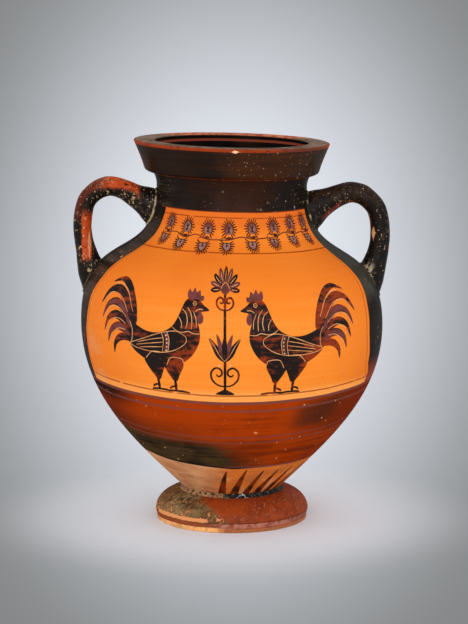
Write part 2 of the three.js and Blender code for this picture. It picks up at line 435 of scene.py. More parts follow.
def painted(name, shapes, place, paints, step=None):
    """Cuts flat shapes out, bends them over the clay and gives them the body of a coat of paint.
    shapes holds (outline in mm, paint number, layer)."""
    coat, step = ornament().coat, (step or ornament().cut) / MM
    cards = []
    for outline, paint, layer in shapes:
        line_object([(x, y, 0.0) for x, y in outline], True, True)
        bpy.ops.object.convert(target="MESH")
        card = bpy.context.object
        for finish in paints:
            card.data.materials.append(finish_named(finish))
        for face in card.data.polygons:
            face.material_index = paint
        for vertex in card.data.vertices:
            vertex.co.z = layer
        cards.append(card)
    select(*cards)
    if len(cards) > 1:
        bpy.ops.object.join()
    piece = named(name)
    bpy.ops.object.mode_set(mode="EDIT")
    mesh = bmesh.from_edit_mesh(piece.data)
    spans = [[vertex.co[axis] for vertex in mesh.verts] for axis in (0, 1)]
    for face in mesh.faces:
        face.select_set(face.normal.z < 0)
    bmesh.update_edit_mesh(piece.data)
    bpy.ops.mesh.flip_normals()
    for axis, span in enumerate(spans):
        for line in range(math.ceil(min(span) / step), math.floor(max(span) / step) + 1):
            where = [0.0, 0.0, 0.0]
            where[axis] = line * step
            bpy.ops.mesh.select_all(action="SELECT")
            bpy.ops.mesh.bisect(plane_co=where, plane_no=(1 - axis, axis, 0))
    bpy.ops.object.mode_set(mode="OBJECT")
    for vertex in piece.data.vertices:
        vertex.co = place(vertex.co.x, vertex.co.y, vertex.co.z * coat)
    apply_modifier(piece, "SOLIDIFY", thickness=coat * 1.6, offset=-1)
    finish_piece(piece)


# ------------------------------------------------------------ shader helpers

class Field:
    """A value that changes over a surface. Sums on it add their own nodes."""

    def __init__(self, finish, socket):
        self.finish, self.socket = finish, socket

    def sum(self, operation, first, second=0.0):
        node = self.finish.add("ShaderNodeMath", {"operation": operation}, {0: first, 1: second})
        return Field(self.finish, node.outputs[0])

    def __add__(self, other):
        return self.sum("ADD", self, other)

    def __sub__(self, other):
        return self.sum("SUBTRACT", self, other)

    def __rsub__(self, other):
        return self.sum("SUBTRACT", other, self)

    def __mul__(self, other):
        return self.sum("MULTIPLY", self, other)

    def __truediv__(self, other):
        return self.sum("DIVIDE", self, other)

    def __rtruediv__(self, other):
        return self.sum("DIVIDE", other, self)

    def __abs__(self):
        return self.sum("ABSOLUTE", self)

    __radd__, __rmul__ = __add__, __mul__

    def sine(self):
        return self.sum("SINE", self)

    def root(self):
        return self.sum("SQRT", self)

    def either(self, other):
        return self.sum("MAXIMUM", self, other)

    def above(self, low, high):
        """0 below low, 1 above high and smooth between, as a mask."""
        node = self.finish.add("ShaderNodeMapRange", {"interpolation_type": "SMOOTHSTEP"},
                               {0: self, 1: low, 2: high, 3: 0.0, 4: 1.0})
        return Field(self.finish, node.outputs[0])

    def below(self, low, high):
        return 1 - self.above(low, high)

    def band(self, low, high, soft):
        """1 between low and high, with soft edges."""
        return self.above(low - soft, low + soft) * self.below(high - soft, high + soft)


class Finish:
    """One procedural material or world, written as sums on fields."""

    def __init__(self, name, world=False):
        self.material = (bpy.data.worlds if world else bpy.data.materials).new(name)
        self.material.use_nodes = True
        self.nodes = self.material.node_tree.nodes
        self.nodes.clear()
        self.coordinates = self.add("ShaderNodeTexCoord").outputs[
            "Generated" if world else "Object"]
        parts = self.add("ShaderNodeSeparateXYZ", {}, {0: self.coordinates})
        self.x, self.y, self.z = (Field(self, parts.outputs[k]) for k in range(3))

    def add(self, kind, preset=None, sockets=None):
        """Adds one node: its settings first, then the values or links of its sockets."""
        node = self.nodes.new(kind)
        for key, value in (preset or {}).items():
            if key != "stops":
                setattr(node, key, value)
                continue
            stops = node.color_ramp.elements
            stops.remove(stops[-1])
            for index, (place, grey) in enumerate(value):
                stop = stops.new(place) if index else stops[0]
                stop.position = place
                stop.color = (grey, grey, grey, 1.0)
        for key, value in (sockets or {}).items():
            if isinstance(value, Field):
                value = value.socket
            if isinstance(value, bpy.types.NodeSocket):
                self.material.node_tree.links.new(value, node.inputs[key])
            elif node.inputs[key].type == "RGBA":
                node.inputs[key].default_value = (*value, 1.0)
            else:
                node.inputs[key].default_value = value
        return node

    def noise(self, scale, detail=4.0, stretch=(1, 1, 1), place=(0, 0, 0), rough=0.55):
        """Soft clouds, about 0.5 in the middle."""
        at = self.add("ShaderNodeMapping", {}, {"Vector": self.coordinates, "Location": place,
                                                "Scale": stretch})
        node = self.add("ShaderNodeTexNoise", {"noise_dimensions": "3D"},
                        {"Vector": at.outputs[0], "Scale": scale, "Detail": detail,
                         "Roughness": rough})
        return Field(self, node.outputs[0])

    def specks(self, scale, share, place=(0, 0, 0)):
        """Small round dots, share of them from 0 to 1."""
        at = self.add("ShaderNodeMapping", {}, {"Vector": self.coordinates, "Location": place})
        cells = self.add("ShaderNodeTexVoronoi", {"feature": "F1"},
                         {"Vector": at.outputs[0], "Scale": scale, "Randomness": 1.0})
        near = Field(self, cells.outputs["Distance"])
        pick = self.add("ShaderNodeSeparateColor", {}, {0: cells.outputs["Color"]})
        chosen = Field(self, pick.outputs[0]).below(share - 0.01, share + 0.01)
        reach = Field(self, pick.outputs[1]) * 0.20 + 0.08
        return chosen * (reach - near).above(0.0, 0.06)

    def mix(self, mask, under, over):
        """The colour over laid on the colour under where mask is 1."""
        return self.add("ShaderNodeMix", {"data_type": "RGBA"},
                        {0: mask, 6: under, 7: over}).outputs[2]

    def height(self):
        """Millimetres above the ground, as if the body hadn't sagged."""
        return (self.z + self.x * self.z.above(SAG_FROM, SAG_TO) * sizes().lean) * 1000

    def azimuth(self):
        """Degrees: 0 in the middle of front and back, 90 and -90 at the right and left handle."""
        return self.x.sum("ARCTAN2", self.x, abs(self.y)) * math.degrees(1)

    def from_axis(self):
        """Metres from the wheel's axis."""
        return (self.x * self.x + self.y * self.y).root()

    def coats(self, base, *layers):
        """A colour with layers of (mask, colour) laid on it in turn."""
        for mask, over in layers:
            base = self.mix(mask, base, over)
        return base

    def profile(self, value, stops, reach=100):
        """A number read off a table of (value, number), with the numbers from 0 to reach."""
        low, high = stops[0][0], stops[-1][0]
        node = self.add("ShaderNodeValToRGB", {
            "stops": [((place - low) / (high - low), number / reach) for place, number in stops]},
            {0: (value - low) / (high - low)})
        part = self.add("ShaderNodeSeparateColor", {}, {0: node.outputs[0]})
        return Field(self, part.outputs[0]) * reach

    def seen_by(self, *rays):
        """1 for the kinds of rays that are named."""
        path = self.add("ShaderNodeLightPath")
        kinds = [Field(self, path.outputs["Is %s Ray" % ray]) for ray in rays]
        seen = kinds[0]
        for kind in kinds[1:]:
            seen = seen.either(kind)
        return seen

    def surface(self, base, rough, relief, strength, distance, coat=0.0, specular=0.05,
                clear=None):
        """Ends the material: base colour, roughness and a relief in the normals."""
        bump = self.add("ShaderNodeBump", {}, {"Strength": strength, "Distance": distance,
                                               "Height": relief})
        shader = self.add("ShaderNodeBsdfPrincipled", {}, {
            "Base Color": base, "Roughness": rough, "Normal": bump.outputs[0],
            "Specular IOR Level": specular, "Coat Weight": coat, "Coat Roughness": 0.26})
        if clear is not None:
            gap = self.add("ShaderNodeBsdfTransparent")
            shader = self.add("ShaderNodeMixShader", {}, {
                0: clear, 1: shader.outputs[0], 2: gap.outputs[0]})
        self.add("ShaderNodeOutputMaterial", {}, {0: shader.outputs[0]})
        return self.material


# ------------------------------------------------------------------ the finishes

# Levels of the painted zones in mm, with the soft edges of a brush
PANEL_FOOT, PANEL_TOP = (143.2, 144.0), (316.6, 317.3)
# A ground line rises by this much from the middle of the panel to the handles
GROUND_RISE = 6.5


def slip_relief(finish):
    """Wheel marks, brush marks and fine grain under a coat of slip."""
    wheel = finish.noise(1.0, 3.0, (9, 9, 420))
    grain = finish.noise(900.0, 3.0)
    dents = finish.noise(38.0, 3.0)
    return wheel * 0.35 + grain * 0.22 + dents * 0.6


def worn_black(finish, brown_share):
    """Black slip with thin brownish clouds and streaks."""
    cloud = finish.noise(14.0, 5.0)
    streak = finish.noise(1.0, 4.0, (14, 14, 260))
    thin = (cloud * 0.6 + streak * 0.4).above(0.62 - 0.22 * brown_share, 0.78 - 0.2 * brown_share)
    return finish.mix(thin, colours().black_slip, colours().brown_slip)


def scuffs(finish, amount, place=(0, 0, 0)):
    """Fine ragged chips, amount from 0 to 1, thick in clusters."""
    fine = finish.noise(420.0, 5.0, (1, 1, 0.6), place, 0.7)
    cluster = finish.noise(60.0, 3.0, place=place)
    return (fine * 0.72 + cluster * 0.28).above(0.66 - 0.08 * amount, 0.685 - 0.08 * amount)


def body_finish():
    """Outside of the body: black borders, reserved panels, red and olive belly, bare base."""
    paint = colours()
    finish = Finish("painted_body")
    h, a = finish.height(), finish.azimuth()
    waver = finish.noise(26.0, 3.0) - 0.5
    wide = finish.noise(9.0, 4.0) - 0.5
    cloudy = finish.noise(34.0, 5.0) - 0.5
    streak = finish.noise(1.0, 4.0, (10, 10, 300)) - 0.5
    slope = (a * math.radians(1)).sine()
    tilted = h - slope * slope * GROUND_RISE + waver * 1.2

    # black slip of the borders, brown and red where it is thin, with a painted grey sheen high up
    # on both borders
    painted_left_sheen = (a + cloudy * 14).band(-82, -60, 5) * (h + wide * 60).band(205, 300, 16)
    painted_right_sheen = (a + cloudy * 14).band(62, 104, 6) * (h + wide * 60).band(236, 312, 12)
    low_right = (h + wide * 60).below(140, 172) * a.above(50, 62)
    patch = (finish.noise(30.0, 4.0, place=(3, 1, 2)) + wide * 0.5).above(0.56, 0.70)
    border = finish.coats(
        worn_black(finish, 0.35),
        # painted sheen: grey brown high on the left border, olive grey on the right
        (painted_left_sheen * (streak * 1.6 + 0.45), tint(76, 58, 44)),
        (painted_right_sheen * (cloudy + 0.55), tint(74, 72, 60)),
        (low_right * (0.8 + wide), paint.red_slip),
        (patch * a.below(-76, -66) * h.band(165, 262, 20) * 0.7, paint.dark_red_and_shade))

    # the belly under the panel, red in the middle, with painted shade darker at the sides
    cloud = (h + wide * 16 - a * 0.25).band(104, 130, 7) * (a + wide * 20).band(29, 50, 6)
    cloud = cloud * finish.y.below(-0.01, 0.02)
    wash = (a + wide * 40 + cloudy * 20).below(-40, 0) * (tilted + wide * 20).band(88, 114, 10)
    wedge = (a + wide * 20).below(-60, -36) * tilted.above(120, 137)
    red = finish.coats(
        paint.red_slip,
        ((streak * 1.2 + cloudy * 0.8 + wide + 0.36).above(0.3, 1.0), paint.dark_red_and_shade),
        # painted shade: the red turns dark towards both sides of the belly
        ((abs(a + 6) + wide * 36).above(28, 62) * 0.95, paint.dark_red_and_shade),
        (cloud * 0.75, paint.brown_slip),
        (wash * 0.5, tint(74, 36, 18)),
        (wedge * 0.9, paint.black_slip))
    belly = (tilted + streak * 2).below(*PANEL_FOOT)

    # olive black band above the bare base, red again on the right
    olive = finish.mix((cloudy * 1.4 + streak * 1.2 + 0.45).above(0.1, 0.9),
                       paint.olive_slip, paint.black_slip)
    left = (a + wide * 30 + streak * 30 + (h - 86) * 0.6).below(-12, 30)
    band = (tilted + wide * 14).below(90, 104)
    red_low = finish.mix((streak * 1.6 + cloudy + 0.5).above(0.2, 0.9), tint(156, 54, 6),
                         paint.dark_red_and_shade)

    # purple lines, the upper ones clearest
    breaks = (finish.noise(60.0, 4.0) + streak * 0.4).above(0.28, 0.44)
    lines = tilted.band(140.6, 143.6, 0.4)
    for low, high, share in ((132.6, 134.9, 0.8), (103.0, 104.9, 0.55), (97.0, 98.9, 0.55)):
        lines = lines.either(tilted.band(low, high, 0.4) * share)
    lines = lines.either(h.band(66.8, 69.4, 0.5) * a.above(-22, -2))

    # bare clay above the foot, its upper edge lower on the right
    edge = finish.profile(a, [(-90, 76), (-60, 75.3), (-45, 72.3), (-30, 70.2), (0, 66.3),
                              (30, 67.4), (60, 68.4), (90, 68.4)])
    bare = (h + waver * 1.6 - edge).below(-0.4, 0.4)
    mottle = finish.noise(52.0, 6.0, place=(5, 5, 5))
    stain = (finish.noise(170.0, 6.0) + cloudy * 0.3).above(0.56, 0.60)
    stain = stain * (h + cloudy * 26 + (a + 40) * 0.16).below(36, 44) * a.below(-14, -8)
    clay = finish.coats(
        paint.worn_clay,
        ((a + wide * 50).above(-34, 2), paint.base_clay),
        ((mottle + streak * 0.6).above(0.46, 0.70) * 0.5, tint(150, 92, 56)),
        (mottle.below(0.34, 0.46) * 0.45, tint(222, 170, 124)),
        (stain * 0.9, tint(48, 42, 34)))
    # painted highlight: a pale line along a ridge just under the bare clay's upper edge, on the
    # left
    painted_ridge_highlight = (h - edge).band(-1.6, -0.2, 0.4) * a.below(-14, 4)
    dark_line = (h - edge).band(0.0, 1.9, 0.5) * a.below(0, 18)

    # the panels, each side edge as degrees from the middle at some heights
    left_edge = finish.profile(h, [(140, 70), (160, 70.8), (198, 71.5), (230, 69.4), (250, 65.8),
                                   (270, 64), (290, 59.5), (317, 57.5)])
    right_edge = finish.profile(h, [(140, 67.5), (160, 67), (170, 64.6), (200, 63), (230, 63.5),
                                    (260, 66.3), (280, 69), (317, 69.4)])
    brush = waver * 1.4
    field = tilted.above(*PANEL_FOOT) * (h + waver * 1.2).below(*PANEL_TOP)
    field = field * ((a + left_edge + brush).above(-0.35, 0.35)
                     * (a - right_edge + brush).below(-0.35, 0.35))
    # thin contour lines inside the panel's edge, pale worn places along it
    thin = (a + left_edge - 1.6).band(-0.22, 0.22, 0.2)
    thin = thin.either((right_edge - a - 2.2).band(-0.22, 0.22, 0.2)) * h.below(276, 282)
    for line, low, high in ((h + waver * 0.8, 311.4, 312.4), (h + waver * 0.8, 280.0, 281.0),
                            (tilted, 149.2, 150.6)):
        thin = thin.either(line.band(low, high, 0.35))
    fire = (finish.noise(7.0, 3.0, place=(2, 7, 4)) + streak * 0.3).above(0.50, 0.76)
    rub = (cloudy + finish.noise(320.0, 4.0) * 0.6 + 0.3).above(0.60, 0.72) * a.band(-70, -58, 4)
    panel = finish.coats(
        paint.panel_clay,
        ((streak * 1.0 + wide * 0.8 + 0.4).above(0.2, 1.0) * 0.8, paint.pale_clay),
        # painted shade: redder and darker towards the panel's sides
        ((abs(a - 2) + cloudy * 10 + wide * 20).above(26, 66) * 0.42, paint.warm_clay_and_shade),
        ((h + wide * 8).above(294, 306) * 0.75, paint.warm_clay_and_shade),
        # painted shade: darker over the upper part of the panel
        ((h + wide * 20).band(236, 300, 24) * 0.5, tint(216, 106, 26)),
        # painted light: brighter along the foot of the panel
        ((h + wide * 6).below(150, 159) * 0.6, tint(255, 172, 90)),
        (fire * 0.5, paint.warm_clay_and_shade),
        (finish.noise(240.0, 3.0).above(0.60, 0.72) * 0.28, paint.base_clay),
        (thin * breaks * 0.8, tint(132, 48, 12)),
        (rub * h.below(225, 245) * 0.3, tint(206, 160, 116)))

    # chips and specks
    chips = finish.specks(130.0, 0.03, (1, 2, 3)) * (1 - field * 0.8)
    chips = chips * (1 - belly * wide.below(0.02, 0.06))
    slipped = (1 - field) * (1 - bare)
    chips = chips.either(finish.specks(230.0, 0.06, (4, 2, 3)) * slipped)
    chips = chips.either(scuffs(finish, 0.25, (2, 2, 2)) * slipped * 0.8)
    base = finish.coats(
        border,
        (belly, red),
        (band * left, olive),
        (tilted.below(96, 104) * (1 - left) * 0.8, red_low),
        (lines * breaks * 0.9, tint(116, 66, 58)),
        (bare, clay),
        (painted_ridge_highlight * 0.4, tint(206, 152, 118)),
        (dark_line * 0.85, tint(24, 16, 14)),
        (field, panel),
        (chips * 0.7, paint.incision))
    rough = 0.42 + field * 0.06 + bare * 0.3 + wide * 0.12 + chips * 0.2
    relief = slip_relief(finish) + chips * -0.5 - field * 0.25 - bare * 0.2 + bare * mottle * 0.9
    gloss = (1 - bare) * (1 - field * 0.9) * (1 - belly * 0.85) * (0.12 + streak * 0.10)
    return finish.surface(base, rough, relief, 0.32, 0.0006, gloss, 0.0)


def neck_finish():
    """Black neck with a faint brown middle, a painted grey sheen towards its sides, and pale
    specks, thickest on the right.
    """
    finish = Finish("neck_slip")
    h, a = finish.height(), finish.azimuth()
    wide = finish.noise(18.0, 4.0) - 0.5
    streak = finish.noise(1.0, 4.0, (16, 16, 500))
    # painted sheen: grey streaks towards the sides of the neck
    side = (abs(a - 4) + wide * 50).above(44, 66) * streak.above(0.4, 0.7)
    specks = finish.specks(230.0, 0.16) * (wide * 2 + a * 0.014 + 0.7).above(0.3, 1.0)
    specks = specks.either(scuffs(finish, 0.45) * (wide * 2 + a * 0.02 + 0.6).above(0.2, 0.9))
    specks = specks.either(finish.specks(430.0, 0.34) * (wide * 2 + 0.5).above(0.45, 0.9))
    edge = (h + wide * 1.2).below(317.2, 318.2) * abs(a).below(62, 66)
    base = finish.coats(
        worn_black(finish, 0.35),
        ((abs(a - 2) + wide * 80).below(4, 44) * 0.8, tint(50, 25, 11)),
        (streak.above(0.54, 0.74) * 0.5, tint(78, 38, 16)),
        (side * 0.6, tint(58, 49, 40)),
        (specks * 0.6, tint(186, 164, 140)),
        (edge * 0.8, tint(150, 56, 16)))
    return finish.surface(base, 0.42 + wide * 0.2 + specks * 0.2,
                          slip_relief(finish) - specks * 0.5, 0.35, 0.0006, 0.12, 0.0)


def mouth_finish():
    """Brown black mouth, its rim worn to a red line, grey brown on top."""
    finish = Finish("mouth_slip")
    h, a, out = finish.height(), finish.azimuth(), finish.from_axis() * 1000
    wide = finish.noise(20.0, 5.0) - 0.5
    fine = finish.noise(170.0, 5.0) - 0.5
    streak = finish.noise(1.0, 4.0, (16, 16, 420))
    # the flat top, grey in front and worn to pink clay behind
    top = (out + fine * 2).band(76.0, 95.6, 0.5) * h.above(378.6, 379.4)
    grey = finish.mix((fine + wide + 0.5).above(0.35, 0.65), tint(126, 104, 88), tint(88, 66, 52))
    pink = finish.mix((fine + 0.5).above(0.4, 0.62), tint(202, 118, 80), tint(140, 66, 44))
    rear = (finish.y * 1000 + wide * 70).above(36, 62)
    # red band on the outer edge, with one chip in front
    rim = (h + wide * 1.0 + fine * 0.5).above(376.6, 377.2) * out.above(93.0, 94.0) * (1 - top)
    worn = finish.coats(
        tint(152, 56, 20),
        ((fine + wide * 0.6 + 0.5).above(0.50, 0.76), tint(92, 36, 17)),
        ((a + wide * 24).band(30, 66, 6) * 0.6, tint(66, 46, 38)))
    near = abs(a - 2) * 0.65 + abs(h - 377.4) * 0.9 + fine * 5 + wide * 3
    chip = near.below(1.2, 1.8) * out.above(90, 92) * finish.y.below(-0.01, 0.01)
    foot_line = (h + wide * 0.8).below(349.0, 349.6) * (fine + wide + 0.5).above(0.30, 0.44)
    specks = finish.specks(230.0, 0.14) * (a * 0.016 + 0.55 + wide).above(0.3, 1.0)
    specks = specks.either(scuffs(finish, 0.5) * (a * 0.02 + 0.3 + wide * 2).above(0.2, 0.9))
    specks = specks.either(finish.specks(430.0, 0.30)
                           * (wide * 2 + 0.5 + a * 0.006).above(0.4, 0.9))
    base = finish.coats(
        worn_black(finish, 0.8),
        ((wide + 0.5).above(0.38, 0.62) * 0.7, tint(60, 32, 14)),
        (streak.above(0.52, 0.72) * 0.45, tint(76, 40, 18)),
        ((a + wide * 20).above(36, 60) * 0.5, tint(50, 38, 28)),
        ((a + wide * 20).band(-54, -12, 9) * 0.75, tint(26, 18, 12)),
        ((a + wide * 16 + fine * 8).below(-82, -70) * (wide + 0.3), tint(124, 54, 36)),
        (top, finish.mix(rear, grey, pink)),
        (rim * 0.95, worn),
        (foot_line * 0.8, tint(132, 56, 30)),
        (chip, tint(250, 196, 150)),
        (specks * (1 - rim) * 0.65, tint(196, 166, 130)))
    return finish.surface(base, 0.44 + fine * 0.2 + top * 0.1 + specks * 0.2,
                          slip_relief(finish) - specks * 0.4 - chip, 0.35, 0.0006, 0.12, 0.0)


def foot_finish():
    """Foot: olive and chipped on the left, red on the right, purple band, reserved edge."""
    finish = Finish("foot_slip")
    h, a = finish.height(), finish.azimuth()
    wide = finish.noise(30.0, 5.0) - 0.5
    fine = finish.noise(190.0, 6.0, rough=0.65) - 0.5
    red = finish.mix((wide + fine * 0.6 + 0.5).above(0.40, 0.74), tint(150, 62, 24),
                     tint(112, 46, 22))
    olive = finish.coats(
        tint(152, 124, 82),
        ((fine + 0.5).above(0.40, 0.60), tint(80, 64, 42)),
        ((wide + 0.5).above(0.52, 0.66) * 0.5, tint(40, 34, 26)),
        ((a + 58 + wide * 60).below(-22, 10) * 0.6, tint(104, 62, 40)),
        ((a + wide * 30).above(-44, -22) * 0.6, tint(92, 56, 32)))
    left = (a + wide * 30 + fine * 16 - (30 - h) * 1.5).below(-36, -26)
    near = (h + wide * 8 + fine * 8).below(15.5, 24)
    strip = (h + wide * 3 + fine * 2.4).band(9.6, 13.2, 0.3) * (a + fine * 8).band(-72, -18, 2)
    chips = (fine + wide * 0.3 + 0.5).above(0.56, 0.58) * left * near
    chips = chips.either(scuffs(finish, 0.9) * left).either(strip)
    # the band over the edge, purple on the right and brown on the left
    band = (h + fine * 1.0).band(4.4, 9.4, 0.4)
    brown = (a + wide * 20).below(-30, -8)
    mottled = finish.coats(
        tint(186, 122, 104),
        ((fine + 0.5).above(0.42, 0.6), tint(146, 74, 58)),
        (a.above(30, 60) * 0.5, tint(104, 56, 44)))
    crest = h.band(9.2, 10.3, 0.4) * (1 - strip)
    # the reserved edge at the ground
    edge = (h + fine * 1.0 + wide * 1.6 - a.band(-70, -6, 10) * 0.9).below(3.6, 4.1)
    bare = finish.coats(
        tint(172, 104, 64),
        ((a + wide * 40).band(-74, -14, 10), tint(250, 182, 116)),
        ((fine + 0.5).above(0.45, 0.6) * 0.4, tint(150, 84, 50)))
    dust = (finish.noise(330.0, 4.0) + wide * 0.4).above(0.64, 0.68) * (1 - left)
    base = finish.coats(
        red,
        (left, olive),
        (chips, tint(226, 146, 92)),
        (band * (1 - brown) * 0.9, mottled),
        (band * brown * 0.85 * (1 - strip), tint(146, 66, 38)),
        (crest * 0.7, tint(72, 28, 18)),
        (edge, bare),
        (dust * 0.35, tint(190, 150, 124)))
    rough = 0.44 + left * 0.22 + edge * 0.2 + fine * 0.3
    relief = slip_relief(finish) - chips * 0.9 + left * fine * 2.0 + band * 0.3
    return finish.surface(base, rough, relief, 0.45, 0.0008, (1 - left) * (1 - edge) * 0.14, 0.0)


def crust_finish():
    """Ragged black and grey crust in the joint of the foot, with a painted white highlight in
    front.
    """
    finish = Finish("foot_joint_crust")
    a = finish.azimuth()
    fine = finish.noise(330.0, 6.0, rough=0.7)
    wide = finish.noise(60.0, 5.0)
    olive = finish.mix(fine.above(0.44, 0.52), tint(66, 54, 38), tint(176, 126, 86))
    # painted highlight: white flecks on the crust, only in front
    painted_gleam = (fine * 0.6 + wide * 0.4).above(0.55, 0.59) * a.band(-4, 18, 4)
    base = finish.coats(
        tint(24, 22, 20),
        (fine.above(0.50, 0.60) * 0.7, tint(92, 90, 80)),
        ((a + wide * 30).below(4, 14) * 0.95, olive),
        (painted_gleam * 0.85, tint(214, 214, 206)))
    return finish.surface(base, 0.42 + fine * 0.3, fine + wide * 0.7, 0.7, 0.001, 0.12, 0.02)


def handle_finish(name, left):
    """A handle's slip: worn red on the left one, black with chips on the right one, each with a
    painted highlight streak.
    """
    finish = Finish(name)
    h, out = finish.height(), abs(finish.x) * 1000
    wide = finish.noise(34.0, 5.0) - 0.5
    fine = finish.noise(230.0, 6.0, rough=0.65) - 0.5
    base = finish.mix((fine + wide + 0.5).above(0.56, 0.72) * 0.6, worn_black(finish, 0.3),
                      tint(70, 60, 50))
    # how far a place lies from the middle of the handle's bow
    bow = ((out - 113) * (out - 113) + (h - 298) * (h - 298)).root()
    pits = (fine + 0.5).below(0.36, 0.41) * (wide + 0.5).above(0.36, 0.5)
    if left:
        outer = (bow + wide * 10 + fine * 6 - out.above(116, 142) * 6).above(30, 35)
        outer = outer * (h + wide * 24).above(292, 306) * (out + wide * 8).above(89, 93)
        outer = outer * (fine * 1.4 + wide * 1.6 + 0.78).above(0.34, 0.60)
        outer = outer * (1 - (out + wide * 30).above(128, 150) * 0.45)
        crown = outer * (out + wide * 20 + fine * 10).band(90, 125, 8)
        run = (h + wide * 24).band(258, 308, 5) * (out + wide * 8 + fine * 4).band(138.6, 149, 1.0)
        run = run * (fine + wide + 0.74).above(0.30, 0.48)
        worn = outer.either(run)
        red = finish.coats(
            tint(112, 44, 22),
            (crown.either(run), tint(198, 74, 24)),
            ((fine + 0.5).above(0.54, 0.66) * 0.5, tint(72, 30, 16)))
        dense = bow.band(20, 46, 4) * h.above(284, 296)
        dense = dense.either(out.band(145, 158, 2) * h.above(240, 256))
        # painted highlight: a pale streak down the handle's upright run
        streak = (abs(out - 141.2) * 1.4 + abs(h - 275) * 0.13 + fine * 3).below(1.7, 2.6)
        marks = [(streak * 0.85, tint(236, 156, 112))]
        dots = finish.specks(230.0, 0.55, (3, 1, 2)) * (out + wide * 20).above(128, 140)
        pale, rubbed = finish.specks(430.0, 0.6).either(dots) * dense, 1.0
    else:
        warm = (h + wide * 30).above(314, 334) * (fine + 0.5).above(0.30, 0.66)
        base = finish.mix(warm * 0.6, base, tint(68, 44, 28))
        inner = bow.band(19, 26, 1.5) * (h + wide * 30).above(294, 300) * out.above(112, 118)
        under = (h - (out - 93) * 0.83 + wide * 3).band(307, 310.6, 0.8) * out.band(90, 108, 3)
        worn = inner.either(under) * (fine * 1.4 + wide + 0.62).above(0.42, 0.6)
        red = finish.mix((fine + wide * 0.4 + 0.5).above(0.46, 0.64), tint(140, 52, 26),
                         tint(84, 32, 20))
        crust = (h + wide * 20).band(242, 262, 4) * (out + wide * 16).band(124, 141, 3)
        # painted highlight: a pale streak down the handle's upright run
        streak = (abs(out - 140.5) * 1.0 + abs(h - 292) * 0.3 + fine * 4).below(1.6, 2.4)
        marks = [(crust * (fine + 0.5).above(0.50, 0.58) * 0.9, tint(178, 158, 128)),
                 (streak, tint(222, 160, 110))]
        pale, rubbed = finish.specks(430.0, 0.32) * (wide * 2 + 0.5).above(0.2, 0.6), 0.5
    pale = pale.either(scuffs(finish, rubbed) * (1 - worn * 0.5))
    pale = pale.either(finish.specks(300.0, 0.14) * (1 - worn * 0.7))
    base = finish.coats(base, (worn * 0.94, red), (pits * 0.7, tint(16, 13, 12)), *marks,
                        (pale * 0.8, tint(204, 166, 122)))
    rough = 0.42 + fine * 0.4 + pale * 0.2
    relief = slip_relief(finish) + fine * 1.2 - pale * 0.7 - pits * 1.2
    return finish.surface(base, rough, relief, 0.6, 0.0009, 0.14, 0.02)


def collar_finish():
    """The clay roll round a handle's root, its slip worn off along the edge."""
    finish = Finish("handle_collar_slip")
    fine = finish.noise(190.0, 6.0)
    wide = finish.noise(40.0, 4.0)
    top = finish.height().above(276, 284)
    pale = (fine * 0.6 + wide * 0.4).above(0.47, 0.56) * (0.08 + top * 0.92)
    base = finish.coats(colours().black_slip, (wide.above(0.40, 0.60), tint(70, 54, 42)),
                        (pale, tint(172, 150, 116)))
    return finish.surface(base, 0.5 + fine * 0.3, fine + wide, 0.5, 0.0006, 0.2)


def clay_finish(name, first, second, rough):
    """Bare fired clay with wheel marks."""
    finish = Finish(name)
    wide = finish.noise(22.0, 5.0)
    rings = finish.noise(1.0, 3.0, (5, 5, 160))
    fine = finish.noise(400.0, 5.0)
    base = finish.coats(
        first,
        (wide.above(0.38, 0.64), second),
        (fine.above(0.56, 0.68) * 0.5, tint(70, 46, 32)),
        (finish.specks(170.0, 0.12) * 0.6, tint(186, 150, 112)))
    return finish.surface(base, rough + fine * 0.2, rings * 1.6 + fine * 0.3 + wide * 0.4, 0.5,
                          0.0012)


def inner_slip_finish():
    """Black slip inside the neck and the mouth, painted darker than outside as shade, with a red
    line under the rim.
    """
    finish = Finish("inner_slip")
    wide = finish.noise(24.0, 4.0) - 0.5
    line = (finish.height() + wide * 1.2).band(373.2, 375.6, 0.4)
    # painted shade: the inner black is darker than the black slip outside
    base = finish.coats(tint(12, 9, 8), ((wide + 0.5).above(0.5, 0.7) * 0.3, colours().brown_slip),
                        (line * 0.85, tint(140, 62, 44)))
    return finish.surface(base, 0.6 + finish.noise(60.0) * 0.2, slip_relief(finish), 0.4, 0.0008,
                          0.02, 0.0)


def figure_finish():
    """Black paint of the figures, red brown where it is thin."""
    finish = Finish("figure_black")
    cloud = finish.noise(22.0, 4.0, (1, 1, 1.6))
    brush = finish.noise(1.0, 4.0, (60, 60, 260))
    fine = finish.noise(260.0, 4.0)
    thin = (cloud * 0.60 + brush * 0.34 + fine * 0.14).above(0.53, 0.64)
    base = finish.coats(tint(26, 16, 12), (thin * 0.9, tint(146, 50, 10)),
                        (fine.above(0.64, 0.72) * 0.4, tint(150, 78, 40)))
    return finish.surface(base, 0.36 + thin * 0.1, cloud + fine * 0.5, 0.25, 0.0004, 0.12)


def paint_finish(name, main, second, rough=0.5):
    """Matt added paint, a little worn."""
    finish = Finish(name)
    cloud = finish.noise(90.0, 5.0)
    fine = finish.noise(420.0, 4.0)
    base = finish.mix(cloud.above(0.42, 0.62), main, second)
    return finish.surface(base, rough + fine * 0.15, fine + cloud, 0.3, 0.0004)


